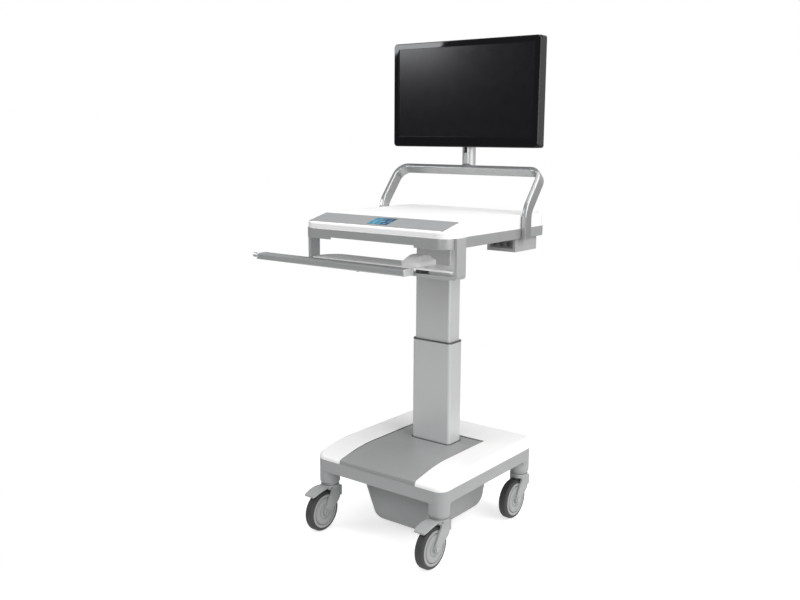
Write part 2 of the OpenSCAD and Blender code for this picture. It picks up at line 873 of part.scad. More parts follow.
module monitor_back() {
    color([0.06, 0.06, 0.07]) difference() {
        mon_slab(0, mon_front + bezel_d, mon_front + mon_d);
        mon_slab(3, mon_front + bezel_d - 1, mon_front + mon_thin - 3);
        translate([-channel_w / 2, mon_front + mon_thin, mon_mid - mon_h])
            cube([channel_w, mon_d, mon_h + 120]);
        for (s = [-1, 1])
            translate([s * (mon_w / 4 + channel_w / 4), mon_front + mon_thin - 4, mon_mid])
                rotate([-90, 0, 0]) linear_extrude(mon_d - mon_thin + 1)
                    square([mon_w / 2 - channel_w / 2 - 8, mon_h - 8], center = true);
    }
}

// ---------- keyboard tray ----------

module tray_hanger() {
    color([0.78, 0.79, 0.80])
        translate([0, -hang_front + hang_w, hang_z]) rotate([90, 0, 0]) linear_extrude(hang_w)
            difference() {
                hanger_outline(hang_x + hang_t, 0, 10);
                hanger_outline(hang_x, hang_t, 4);
            }
}

// U outline: floor at z0, open at the top of the legs, with round lower corners
module hanger_outline(half, z0, r) {
    top = hang_h + (z0 > 0 ? 1 : 0);
    translate([-half, z0 + r]) square([2 * half, top - z0 - r]);
    translate([-half + r, z0]) square([2 * (half - r), r + 1]);
    for (s = [-1, 1]) translate([s * (half - r), z0 + r]) circle(r);
}

module tray_spacers() {
    color([0.14, 0.14, 0.15])
        for (s = [-1, 1])
            translate([s * spacer_gap / 2, -hang_front + hang_w / 2, hang_top])
                linear_extrude(spacer_h) rounded(22, hang_w - 6, 4);
}

// plate with small front corners and wide rear ones
module keyboard_platform() {
    front_r = 8;
    rear_r = 52;
    color([0.95, 0.95, 0.94])
        translate([0, -hang_front, platform_z]) linear_extrude(platform_t) {
            translate([-platform_w / 2 + rear_r, 0])
                square([platform_w - 2 * rear_r, platform_d]);
            for (s = [-1, 1]) scale([s, 1]) {
                translate([platform_w / 2 - rear_r - 1, front_r])
                    square([rear_r + 1, platform_d - rear_r - front_r]);
                translate([platform_w / 2 - rear_r - 1, 0]) square([rear_r + 1 - front_r, front_r + 1]);
                translate([platform_w / 2 - front_r, front_r]) circle(front_r);
                intersection() {
                    translate([platform_w / 2 - rear_r, platform_d - rear_r]) circle(rear_r);
                    translate([platform_w / 2 - rear_r - 1, platform_d - rear_r - 1]) square(rear_r + 1);
                }
            }
        }
}

// rail that the palm rest slides along: a rod on a plate that lies on the hanger
module palm_rail() {
    color([0.72, 0.73, 0.74]) {
        translate([-rail_len / 2, rail_y, hang_top])
            cube([rail_len, -hang_front + 24 - rail_y, rail_t]);
        translate([0, rail_y, rail_z]) x_cylinder(rail_d, -rail_len / 2, rail_len / 2);
    }
}

module palm_channel(x0, x1) {
    translate([0, rail_y, rail_z]) x_cylinder(rail_d + 2 * gap, x0, x1);
    translate([x0, rail_y, rail_z - rail_t / 2 - gap]) cube([x1 - x0, palm_d, rail_t + 2 * gap]);
}

module palm_bar() {
    x0 = palm_left + cap_t;
    x1 = palm_left + palm_len - cap_t;
    color([0.66, 0.67, 0.68]) difference() {
        side_extrude([[palm_y - palm_d + 3, palm_z], [palm_y, palm_z], [palm_y, palm_z + palm_bar_h],
                      [palm_y - palm_d, palm_z + palm_bar_h], [palm_y - palm_d, palm_z + 3]], x0, x1);
        palm_channel(x0 - 1, x1 + 1);
        translate([screw_x, rail_y, palm_z - 1]) cylinder(d = screw_d + 2 * run, h = rail_z - palm_z);
    }
}

// palm rest seen from the end, rounded on top and flat at the height low
module palm_section(inset, low) {
    front_r = 6;
    rear_r = 3;
    y0 = palm_y - palm_d + inset;
    y1 = palm_y - inset;
    top = palm_z + palm_h - inset;
    polygon(concat(
        [for (a = [0:15:90]) [y1 - rear_r + rear_r * cos(a), top - rear_r + rear_r * sin(a)]],
        [for (a = [90:10:180]) [y0 + front_r + front_r * cos(a), top - front_r + front_r * sin(a)]],
        [[y0, low], [y1, low]]));
}

module palm_rest() {
    color([0.58, 0.59, 0.60]) translate([palm_left + cap_t, 0, 0])
        rotate([90, 0, 90]) linear_extrude(palm_len - 2 * cap_t) palm_section(0.4, palm_z + palm_bar_h);
}

module palm_end_caps() {
    color([0.85, 0.86, 0.86])
        for (x = [palm_left, palm_left + palm_len - cap_t])
            translate([x, 0, 0]) rotate([90, 0, 90]) linear_extrude(cap_t) palm_section(0, palm_z);
}

module palm_knob() {
    color([0.62, 0.63, 0.64]) translate([palm_left, palm_y - palm_d / 2, palm_z + palm_h / 2]) {
        rotate([0, -90, 0]) cylinder(d = 8, h = knob_neck);
        translate([-knob_neck, 0, 0]) rotate([0, -90, 0]) cylinder(d = knob_d, h = knob_len);
    }
}

// thumb screw that clamps the palm rest on its rail
module lock_knob() {
    color([0.20, 0.20, 0.21]) translate([screw_x, rail_y, palm_z]) {
        translate([0, 0, -gap - 1]) cylinder(d = screw_d, h = rail_z - rail_d / 2 - palm_z + 1);
        translate([0, 0, -gap - screw_head_h]) cylinder(d = screw_head_d, h = screw_head_h);
    }
}

module mouse_outline(inset) {
    translate([mouse_x, mouse_y]) rounded(mouse_w - 2 * inset, mouse_len - 2 * inset, 26 - inset);
}

module mouse() {
    crown_r = mouse_h / 2 - 0.5;
    color([0.95, 0.95, 0.95]) hull() {
        translate([0, 0, mouse_z]) linear_extrude(1) mouse_outline(3);
        translate([0, 0, mouse_z + 4]) linear_extrude(8) mouse_outline(0);
        for (s = [-1, 1]) {
            translate([mouse_x + s * 11, mouse_y - 12, mouse_z + mouse_h - crown_r])
                sphere(crown_r, $fn = blend_fn);
            translate([mouse_x + s * 16, mouse_y + mouse_len / 2 - 18, mouse_z + 12])
                sphere(9, $fn = blend_fn);
        }
    }
}

// ---------- castors ----------

// everything on a castor is drawn with the swivel axis at the origin and the wheel towards -Y
module at_castor(i) {
    translate([castors[i][0], castors[i][1], 0]) children();
}

module swivel_bearings() {
    color([0.66, 0.67, 0.68]) for (i = [0:3]) at_castor(i)
        translate([0, 0, bearing_z]) difference() {
            rotate_extrude() polygon([[0, 0], [head_d / 2 - 3, 0], [head_d / 2 - 1, 2],
                                      [head_d / 2 - 1, bearing_h], [0, bearing_h]]);
            translate([0, 0, -1]) cylinder(d = stem_d + 2 * run, h = bearing_h + 2);
        }
}

// side outline of a fork arm: wide under the head, tapering to the axle
function arm_points() = [
    [head_d / 2 - 4, head_z + 2],
    [head_d / 2 - 4, head_z - 26],
    [head_d / 2 - 12, head_z - 44],
    [-axle_back + 6, wheel_d / 2 - 9],
    [-axle_back - 6, wheel_d / 2 - 8],
    [-axle_back - 9, wheel_d / 2 + 4],
    [-axle_back + 8, wheel_d / 2 + 34],
    [-16, head_z - 8],
    [-19, head_z + 2]
];

module fork(i) {
    color([0.62, 0.63, 0.64]) at_castor(i) difference() {
        union() {
            translate([0, 0, head_z]) cylinder(d = head_d, h = head_h);
            translate([0, 0, head_top - e]) cylinder(d = stem_d, h = stem_h);
            for (s = [0, 1]) mirror([s, 0, 0]) {
                side_extrude(arm_points(), arm_in, arm_in + arm_t);
                translate([0, -axle_back, wheel_d / 2]) x_cylinder(boss_d, arm_in, arm_in + arm_t + 1.5);
            }
            translate([-arm_in - arm_t, wheel_d / 2 - axle_back + 2.5, head_z - 30])
                cube([2 * (arm_in + arm_t), web_t, 31]);
        }
        translate([0, -axle_back, wheel_d / 2]) x_cylinder(axle_d, -50, 50);
        if (i < 2) {
            translate([0, pedal_y, pedal_z]) x_cylinder(pivot_d + 2 * run, -25, 25);
            translate([-arm_in + 2.4, -head_d, head_z - 1])
                cube([2 * arm_in - 4.8, head_d + pedal_y + 9, head_h - 1.5]);
        }
    }
}

module axle(i) {
    reach = arm_in + arm_t + 1.5;
    color([0.78, 0.79, 0.80]) at_castor(i) translate([0, -axle_back, wheel_d / 2]) {
        x_cylinder(axle_d, -reach, reach);
        x_cylinder(axle_head_d, reach, reach + axle_head_t);
        x_cylinder(axle_head_d, -reach - axle_head_t, -reach);
    }
}

// half section of the hub in [radius, x]
module hub(i) {
    rim = hub_d / 2;
    half = hub_w / 2;
    color([0.70, 0.71, 0.72]) at_castor(i)
        translate([0, -axle_back, wheel_d / 2]) rotate([0, 90, 0]) difference() {
            rotate_extrude($fn = 96) polygon([
                [0, -half], [rim - 14, -half], [rim - 12, -half + 3], [rim - 9, -half + 3],
                [rim - 7, -half + 1], [rim - 1, -half + 1], [rim, -half + 2],
                [rim, half - 2], [rim - 1, half - 1], [rim - 7, half - 1], [rim - 9, half - 3],
                [rim - 12, half - 3], [rim - 14, half], [0, half]]);
            translate([0, 0, -hub_w]) cylinder(d = axle_d + 2 * run, h = 2 * hub_w);
        }
}

module tyre(i) {
    half = wheel_w / 2;
    shoulder = 7;
    color([0.17, 0.17, 0.18]) at_castor(i)
        translate([0, -axle_back, wheel_d / 2]) rotate([0, 90, 0]) rotate_extrude($fn = 96)
            translate([hub_d / 2, 0]) difference() {
                translate([0, -half]) square([tyre_t, 2 * half]);
                for (s = [-1, 1]) difference() {
                    translate([tyre_t - shoulder, s > 0 ? half - shoulder : -half - 1])
                        square([shoulder + 1, shoulder + 1]);
                    translate([tyre_t - shoulder, s * (half - shoulder)]) circle(shoulder);
                }
            }
}

// pedal seen from the side: pivot at the origin, tread towards -Y
module pedal(i) {
    neck = arm_in - 3;
    top = 4.4;
    color([0.66, 0.67, 0.68]) at_castor(i) translate([0, pedal_y, pedal_z]) {
        x_cylinder(pivot_d, -arm_in - arm_t + 1, arm_in + arm_t - 1);
        x_cylinder(9, -neck, neck);
        side_extrude([[0, -1.5], [0, top], [-head_d / 2 + 10, top], [-head_d / 2 + 10, 0.6]],
                     -neck, neck);
        side_extrude([[-head_d / 2 + 12, 0.8], [-head_d / 2 + 11, top], [-head_d / 2 + 4, top],
                      [-pedal_len + 6, -pedal_drop + 4], [-pedal_len, -pedal_drop],
                      [-pedal_len, -pedal_drop - 3], [-head_d / 2 + 4, top - pedal_t]],
                     -pedal_w / 2, pedal_w / 2);
    }
}

base_frame();
base_cover();
base_front_lid();
column_surround();
column_gasket();
storage_tub();
power_pack();
lower_column();
column_collar();
glide_sleeves();
lift_actuator();
column_bolts();
swivel_bearings();
upper_column();
lift_rod();
surface_bracket();
surface_rim();
surface_pan();
surface_top();
control_strip();
display_window();
handle_loop();
monitor_post();
power_box();
power_sockets();
tray_hanger();
tray_spacers();
keyboard_platform();
palm_rail();
mouse();
palm_bar();
palm_rest();
palm_end_caps();
palm_knob();
lock_knob();
monitor_mast();
swivel_head();
tilt_pin();
vesa_plate();
monitor_back();
monitor_bezel();
screen_panel();
fork(0);  // fork_front_left
fork(1);  // fork_front_right
fork(2);  // fork_rear_left
fork(3);  // fork_rear_right
axle(0);  // axle_front_left
axle(1);  // axle_front_right
axle(2);  // axle_rear_left
axle(3);  // axle_rear_right
hub(0);  // hub_front_left
hub(1);  // hub_front_right
hub(2);  // hub_rear_left
hub(3);  // hub_rear_right
tyre(0);  // tyre_front_left
tyre(1);  // tyre_front_right
tyre(2);  // tyre_rear_left
tyre(3);  // tyre_rear_right
pedal(0);  // pedal_left
pedal(1);  // pedal_right
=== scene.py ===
# Ward cart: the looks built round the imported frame. Metres, Z up, the user stands at -Y.
import json
import math

import bmesh
import bpy
from mathutils import Matrix, Vector


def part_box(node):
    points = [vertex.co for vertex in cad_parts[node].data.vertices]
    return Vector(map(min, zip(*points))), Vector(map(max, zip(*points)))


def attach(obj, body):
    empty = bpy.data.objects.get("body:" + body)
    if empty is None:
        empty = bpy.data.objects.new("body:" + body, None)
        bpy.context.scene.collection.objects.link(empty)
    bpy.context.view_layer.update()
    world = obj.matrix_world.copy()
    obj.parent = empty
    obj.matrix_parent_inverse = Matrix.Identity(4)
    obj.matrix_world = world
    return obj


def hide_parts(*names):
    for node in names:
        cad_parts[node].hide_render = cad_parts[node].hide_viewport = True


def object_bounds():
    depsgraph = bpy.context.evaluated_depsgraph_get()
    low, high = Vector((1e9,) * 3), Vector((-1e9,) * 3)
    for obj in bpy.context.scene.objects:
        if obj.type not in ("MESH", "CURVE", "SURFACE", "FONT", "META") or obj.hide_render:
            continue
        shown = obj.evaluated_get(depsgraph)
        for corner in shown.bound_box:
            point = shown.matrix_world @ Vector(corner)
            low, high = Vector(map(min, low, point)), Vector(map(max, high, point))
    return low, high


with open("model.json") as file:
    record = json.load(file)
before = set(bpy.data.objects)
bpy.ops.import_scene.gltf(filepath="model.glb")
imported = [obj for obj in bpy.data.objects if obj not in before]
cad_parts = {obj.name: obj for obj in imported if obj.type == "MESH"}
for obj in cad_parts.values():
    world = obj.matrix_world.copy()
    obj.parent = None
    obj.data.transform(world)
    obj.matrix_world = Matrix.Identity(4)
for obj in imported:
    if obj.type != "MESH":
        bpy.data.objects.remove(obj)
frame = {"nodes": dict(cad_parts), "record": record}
cadBox = [list(corner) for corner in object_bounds()]
nodes = frame["nodes"]
castorNames = ("front_left", "front_right", "rear_left", "rear_right")
print("frame loaded:", len(nodes), "nodes")

# camera

cameraSet = {
    "place": (1.58936, -2.26337, 1.20371),
    "turn": 37.514,      # degrees round Z
    "down": 10.266,      # degrees below level
    "roll": 0.324,
    "lens": 40.65,
    "sensor": 36,
}


def addCamera(s):
    bpy.ops.object.camera_add()
    camera = bpy.context.object
    turn = Matrix.Rotation(math.radians(s["turn"]), 4, "Z")
    pitch = Matrix.Rotation(math.radians(90 - s["down"]), 4, "X")
    roll = Matrix.Rotation(math.radians(s["roll"]), 4, "Z")
    camera.matrix_world = Matrix.Translation(s["place"]) @ turn @ pitch @ roll
    camera.data.lens = s["lens"]
    camera.data.sensor_width = s["sensor"]
    bpy.context.scene.camera = camera


addCamera(cameraSet)
print("camera placed")

# modelling helpers: what a hand would do with the usual tools
touch = 0.001       # an edge or a corner this near to a face counts as lying on it
hair = 0.0005


def only(obj):
    bpy.ops.object.select_all(action="DESELECT")
    obj.select_set(True)
    bpy.context.view_layer.objects.active = obj


def applyPlace(obj):
    only(obj)
    bpy.ops.object.transform_apply(location=True, rotation=True, scale=True)


def block(name, low, high):
    bpy.ops.object.select_all(action="DESELECT")
    middle = [(l + h) / 2 for l, h in zip(low, high)]
    bpy.ops.mesh.primitive_cube_add(size=1, location=middle)
    obj = bpy.context.object
    obj.name = obj.data.name = name
    obj.scale = [h - l for l, h in zip(low, high)]
    applyPlace(obj)
    return obj


def rod(name, radius, start, end, sides):
    axis = Vector(end) - Vector(start)
    bpy.ops.object.select_all(action="DESELECT")
    bpy.ops.mesh.primitive_cylinder_add(
        vertices=sides, radius=radius, depth=axis.length, location=(Vector(start) + Vector(end)) / 2,
        rotation=axis.to_track_quat("Z", "Y").to_euler())
    obj = bpy.context.object
    obj.name = obj.data.name = name
    applyPlace(obj)
    return obj


def edit(obj):
    only(obj)
    bpy.ops.object.mode_set(mode="EDIT")


def leave():
    bpy.ops.object.mode_set(mode="OBJECT")


def pick(obj, kind, test):
    bpy.ops.mesh.select_mode(type=kind)
    bpy.ops.mesh.select_all(action="DESELECT")
    shape = bmesh.from_edit_mesh(obj.data)
    shape.normal_update()
    for item in {"VERT": shape.verts, "EDGE": shape.edges, "FACE": shape.faces}[kind]:
        if test(item):
            item.select_set(True)
    shape.select_flush_mode()
    bmesh.update_edit_mesh(obj.data)


def along(edge):
    return (edge.verts[1].co - edge.verts[0].co).normalized()


def mid(edge):
    return (edge.verts[0].co + edge.verts[1].co) / 2


def roundEdges(obj, test, width, steps, clamp=True):
    pick(obj, "EDGE", test)
    bpy.ops.mesh.bevel(offset=width, segments=steps, affect="EDGES", clamp_overlap=clamp)


def removeFaces(obj, test):
    pick(obj, "FACE", test)
    bpy.ops.mesh.delete(type="FACE")


def extrude(move):
    bpy.ops.mesh.extrude_region_move(TRANSFORM_OT_translate={"value": move})


def cutPlane(point, normal, **how):
    bpy.ops.mesh.select_all(action="SELECT")
    bpy.ops.mesh.bisect(plane_co=point, plane_no=normal, **how)


def isUpright(edge):
    return abs(along(edge).z) > 0.95


def isBrow(edge):       # between a wall and a top face
    if len(edge.link_faces) != 2:
        return False
    lift = sorted(face.normal.z for face in edge.link_faces)
    return abs(lift[0]) < 0.3 and lift[1] > 0.6


def applyModifier(obj, kind, **settings):
    only(obj)
    modifier = obj.modifiers.new(kind.lower(), kind)
    for key, value in settings.items():
        setattr(modifier, key, value)
    bpy.ops.object.modifier_apply(modifier=modifier.name)


def easeEdges(obj, width, steps, angle=40):
    applyModifier(obj, "BEVEL", width=width, segments=steps, limit_method="ANGLE",
                  angle_limit=math.radians(angle), use_clamp_overlap=True)


def outward(obj):
    edit(obj)
    bpy.ops.mesh.select_all(action="SELECT")
    bpy.ops.mesh.remove_doubles(threshold=0.00001)
    bpy.ops.mesh.normals_make_consistent(inside=False)
    leave()


def cutAway(obj, cutter):
    applyModifier(obj, "BOOLEAN", object=cutter, operation="DIFFERENCE", solver="EXACT")
    bpy.data.objects.remove(cutter)


def smooth(obj, angle=35):
    only(obj)
    bpy.ops.object.shade_smooth_by_angle(angle=math.radians(angle))
    applyModifier(obj, "WEIGHTED_NORMAL", keep_sharp=True, weight=80)      # keeps wide faces flat


def complete(obj, body, slotName, material, *hidden):
    obj.data.materials.clear()
    obj.data.materials.append(material)
    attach(obj, body)
    if hidden:
        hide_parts(*hidden)


def copyOf(obj, name, shift=(0, 0, 0)):
    twin = obj.copy()
    twin.data = obj.data.copy()
    twin.name = twin.data.name = name
    twin.data.transform(Matrix.Translation(shift))
    bpy.context.scene.collection.objects.link(twin)
    return twin


def shiftTo(node, other):
    # from one node to its twin elsewhere
    return (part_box(other)[0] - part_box(node)[0]).to_tuple()


# shader groups that several finishes share


def newGroup(name, inputs, outputs):
    group = bpy.data.node_groups.new(name, "ShaderNodeTree")
    for label, kind, value in inputs:
        socket = group.interface.new_socket(label, in_out="INPUT", socket_type=kind)
        socket.default_value = value
    for label, kind in outputs:
        group.interface.new_socket(label, in_out="OUTPUT", socket_type=kind)
    start = group.nodes.new("NodeGroupInput")
    end = group.nodes.new("NodeGroupOutput")
    return group, start, end


def addNode(tree, kind, **settings):
    node = tree.nodes.new(kind)
    for key, value in settings.items():
        setattr(node, key, value)
    return node


def link(tree, a, b):
    tree.links.new(a, b)


def feed(tree, value, socket):
    # a constant, or another node's output, into a socket
    if isinstance(value, (int, float, tuple)):
        socket.default_value = value
    else:
        link(tree, value, socket)


def mathNode(tree, operation, a, b):
    node = addNode(tree, "ShaderNodeMath", operation=operation)
    feed(tree, a, node.inputs[0])
    feed(tree, b, node.inputs[1])
    return node.outputs[0]


def spread(tree, value, low, high, start=0.3, end=0.7):
    # from the range start..end to low..high; noise seldom leaves 0.3 to 0.7
    node = addNode(tree, "ShaderNodeMapRange")
    for label, limit in (("From Min", start), ("From Max", end), ("To Min", low), ("To Max", high)):
        feed(tree, limit, node.inputs[label])
    link(tree, value, node.inputs["Value"])
    return node.outputs["Result"]


def blendColour(tree, share, first, second):
    node = addNode(tree, "ShaderNodeMix", data_type="RGBA")
    for place, value in ((0, share), (6, first), (7, second)):      # the colour sockets are 6 and 7
        feed(tree, value, node.inputs[place])
    return node.outputs[2]


def noiseAt(tree, vector, scale, detail):
    node = addNode(tree, "ShaderNodeTexNoise")
    node.inputs["Detail"].default_value = detail
    link(tree, vector, node.inputs["Vector"])
    feed(tree, scale, node.inputs["Scale"])
    return node.outputs["Fac"]


def makeGrainGroup():
    # moulded or sprayed skin: fine grain, cloudy tone, handled patches that shine a little more
    group, start, end = newGroup(
        "mouldedSkin",
        [("Colour", "NodeSocketColor", (0.8, 0.8, 0.8, 1)),
         ("Deep Colour", "NodeSocketColor", (0.7, 0.7, 0.7, 1)),
         ("Grain Scale", "NodeSocketFloat", 900), ("Rough Low", "NodeSocketFloat", 0.3),
         ("Rough High", "NodeSocketFloat", 0.45)],
        [("Colour", "NodeSocketColor"), ("Roughness", "NodeSocketFloat"), ("Height", "NodeSocketFloat")])
    place = addNode(group, "ShaderNodeTexCoord").outputs["Object"]
    cloud = noiseAt(group, place, 7, 4)
    patch = noiseAt(group, place, 34, 5)
    grain = noiseAt(group, place, start.outputs["Grain Scale"], 2)
    share = spread(group, cloud, 0, 1)
    tone = blendColour(group, share, start.outputs["Colour"], start.outputs["Deep Colour"])
    link(group, tone, end.inputs["Colour"])
    link(group, spread(group, patch, start.outputs["Rough Low"], start.outputs["Rough High"]),
         end.inputs["Roughness"])
    link(group, grain, end.inputs["Height"])
    return group


def makeBrushGroup():
    # drawn or brushed metal: long fine lines along the direction that Stretch leaves small
    group, start, end = newGroup(
        "brushedLines",
        [("Colour", "NodeSocketColor", (0.7, 0.7, 0.7, 1)),
         ("Deep Colour", "NodeSocketColor", (0.6, 0.6, 0.6, 1)),
         ("Stretch", "NodeSocketVector", (400, 400, 4)), ("Rough Low", "NodeSocketFloat", 0.25),
         ("Rough High", "NodeSocketFloat", 0.4)],
        [("Colour", "NodeSocketColor"), ("Roughness", "NodeSocketFloat"), ("Height", "NodeSocketFloat")])
    place = addNode(group, "ShaderNodeTexCoord").outputs["Object"]
    drawn = addNode(group, "ShaderNodeVectorMath", operation="MULTIPLY")
    link(group, place, drawn.inputs[0])
    link(group, start.outputs["Stretch"], drawn.inputs[1])
    lines = noiseAt(group, drawn.outputs[0], 1, 4)
    cloud = noiseAt(group, place, 9, 3)
    share = spread(group, lines, 0, 1)
    tone = blendColour(group, share, start.outputs["Colour"], start.outputs["Deep Colour"])
    link(group, tone, end.inputs["Colour"])
    mostly = mathNode(group, "MULTIPLY", lines, 0.7)
    mixed = mathNode(group, "ADD", mostly, mathNode(group, "MULTIPLY", cloud, 0.3))
    link(group, spread(group, mixed, start.outputs["Rough Low"], start.outputs["Rough High"]),
         end.inputs["Roughness"])
    link(group, lines, end.inputs["Height"])
    return group


def makeDustGroup():
    # floor dust: a pale film that fades upwards and breaks up in patches
    group, start, end = newGroup(
        "floorDust",
        [("Colour", "NodeSocketColor", (0.1, 0.1, 0.1, 1)),
         ("Dust Colour", "NodeSocketColor", (0.42, 0.41, 0.39, 1)),
         ("Top", "NodeSocketFloat", 0.2), ("Amount", "NodeSocketFloat", 0.2)],
        [("Colour", "NodeSocketColor"), ("Mask", "NodeSocketFloat")])
    place = addNode(group, "ShaderNodeTexCoord").outputs["Object"]
    parts = addNode(group, "ShaderNodeSeparateXYZ")
    link(group, place, parts.inputs[0])
    fade = spread(group, parts.outputs["Z"], 1, 0, 0, start.outputs["Top"])
    patches = mathNode(group, "MULTIPLY", noiseAt(group, place, 60, 5), fade)
    mask = mathNode(group, "MULTIPLY", patches, start.outputs["Amount"])
    link(group, mask, end.inputs["Mask"])
    tone = blendColour(group, mask, start.outputs["Colour"], start.outputs["Dust Colour"])
    link(group, tone, end.inputs["Colour"])
    return group


mouldedSkin = makeGrainGroup()
brushedLines = makeBrushGroup()
floorDust = makeDustGroup()


def shade(colour, factor):
    return tuple(c * factor for c in colour) + (1,)


def newFinish(name, group, colour, deep, rough, bump, settings, plain):
    # one finish: a shared group drives colour, roughness and bump of its own shader
    material = bpy.data.materials.new(name)
    material.use_nodes = True
    tree = material.node_tree
    shader = tree.nodes["Principled BSDF"]
    skin = addNode(tree, "ShaderNodeGroup", node_tree=group)
    skin.inputs["Colour"].default_value = shade(colour, 1)
    skin.inputs["Deep Colour"].default_value = shade(colour, deep)
    skin.inputs["Rough Low"].default_value, skin.inputs["Rough High"].default_value = rough
    for label, value in settings.items():
        skin.inputs[label].default_value = value
    relief = addNode(tree, "ShaderNodeBump")
    relief.inputs["Distance"].default_value = bump
    link(tree, skin.outputs["Height"], relief.inputs["Height"])
    link(tree, relief.outputs["Normal"], shader.inputs["Normal"])
    link(tree, skin.outputs["Colour"], shader.inputs["Base Color"])
    link(tree, skin.outputs["Roughness"], shader.inputs["Roughness"])
    for label, value in plain.items():
        shader.inputs[label].default_value = value
    return material


def plastic(name, colour, rough, deep=0.96, grain=900, bump=0.00003, **plain):
    return newFinish(name, mouldedSkin, colour, deep, rough, bump, {"Grain Scale": grain}, plain)


def metal(name, colour, rough, stretch, deep=0.9, bump=0.00001, **plain):
    plain = {"Metallic": 1.0, **plain}
    return newFinish(name, brushedLines, colour, deep, rough, bump, {"Stretch": stretch}, plain)


def dusty(material, top, amount):
    # lays the floor dust over a finish that is already made
    tree = material.node_tree
    shader = tree.nodes["Principled BSDF"]
    source = shader.inputs["Base Color"].links[0].from_socket
    dust = addNode(tree, "ShaderNodeGroup", node_tree=floorDust)
    dust.inputs["Top"].default_value = top
    dust.inputs["Amount"].default_value = amount
    link(tree, source, dust.inputs["Colour"])
    link(tree, dust.outputs["Colour"], shader.inputs["Base Color"])
    return material


# finishes, one for each of the record's slots
finishes = {
    "frame_grey": dusty(
        plastic("frameGrey", (0.37, 0.375, 0.38), rough=(0.36, 0.5), grain=650, bump=0.00005), 0.3, 0.10),
    "caster_grey": dusty(
        plastic("castorGrey", (0.36, 0.365, 0.37), rough=(0.32, 0.44), grain=1200), 0.14, 0.25),
    "cover_white": plastic("coverWhite", (0.93, 0.93, 0.925), deep=0.99, rough=(0.3, 0.4)),
    "cover_grey": plastic(
        "coverGrey", (0.31, 0.314, 0.317), deep=0.97, rough=(0.3, 0.36), grain=700, bump=0.00001),
    "tub_grey": dusty(plastic("tubGrey", (0.32, 0.325, 0.33), rough=(0.34, 0.45), grain=800), 0.16, 0.12),
    "gasket_grey": plastic("gasketGrey", (0.10, 0.102, 0.105), rough=(0.5, 0.65), grain=1500),
    "pack_black": plastic("packBlack", (0.06, 0.061, 0.063), rough=(0.4, 0.55), grain=1100),
    "column_satin": metal(
        "columnSatin", (0.74, 0.745, 0.75), deep=0.97, rough=(0.36, 0.42), stretch=(1500, 1500, 9),
        bump=0.000003, Metallic=0.45),
    "glide_white": plastic("glideWhite", (0.7, 0.7, 0.68), rough=(0.5, 0.6)),
    "steel": metal("zincSteel", (0.52, 0.525, 0.53), rough=(0.25, 0.4), stretch=(90, 90, 90)),
    "bracket_dark": plastic("bracketDark", (0.03, 0.03, 0.032), rough=(0.4, 0.5), grain=500, bump=0.00004),
    "rim_satin": metal(
        "rimSatin", (0.62, 0.625, 0.63), deep=0.95, rough=(0.26, 0.31), stretch=(9, 1500, 1500),
        bump=0.000003, Metallic=0.75),
    "strip_grey": plastic("stripGrey", (0.29, 0.295, 0.30), deep=0.97, rough=(0.42, 0.5), grain=1400),
    "box_grey": plastic("boxGrey", (0.42, 0.42, 0.425), rough=(0.4, 0.5), grain=600, bump=0.00004),
    "palm_soft": plastic("palmSoft", (0.25, 0.252, 0.256), rough=(0.45, 0.58), grain=420, bump=0.00006),
    "cap_silver": plastic("capSilver", (0.6, 0.605, 0.61), rough=(0.25, 0.35)),
    "mast_black": plastic("mastBlack", (0.018, 0.018, 0.02), rough=(0.3, 0.4)),
    "monitor_black": plastic("monitorBlack", (0.004, 0.004, 0.005), rough=(0.03, 0.05), bump=0.000001),
    "screen_black": plastic(
        "screenBlack", (0.003, 0.003, 0.005), rough=(0.17, 0.2), grain=2400, bump=0.000001),
    "hub_grey": dusty(plastic("hubGrey", (0.33, 0.335, 0.34), rough=(0.32, 0.44), grain=1000), 0.12, 0.3),
    "tread_dark": dusty(
        plastic("treadDark", (0.03, 0.031, 0.033), rough=(0.55, 0.7), grain=500, bump=0.0001), 0.13, 0.12),
    "pedal_grey": dusty(plastic("pedalGrey", (0.36, 0.365, 0.37), rough=(0.4, 0.52), grain=900), 0.2, 0.15),
}
# finishes for parts that differ from the rest of their slot
upRim = metal("rimUpright", (0.64, 0.645, 0.65), deep=0.95, rough=(0.27, 0.34), stretch=(1500, 1500, 9),
              bump=0.000003, Metallic=0.6)      # drawn along Z
handleSatin = metal("handleSatin", (0.42, 0.425, 0.43), deep=0.98, rough=(0.26, 0.3), stretch=(900, 900, 900),
                    bump=0.0000003, Metallic=0.7)
socketGrey = plastic("socketGrey", (0.17, 0.171, 0.173), rough=(0.4, 0.5))


displaySet = {
    "bright": (0.02, 0.20, 0.36, 1), "dark": (0.003, 0.02, 0.09, 1), "ground": (0.002, 0.012, 0.04, 1),
    "glare": (0.10, 0.42, 0.55, 1), "glareShare": 0.35, "glow": 0.2, "rough": 0.12,
    "tiles": (("Scale", 1), ("Mortar Size", 0.045), ("Brick Width", 0.36), ("Row Height", 0.31)),
}


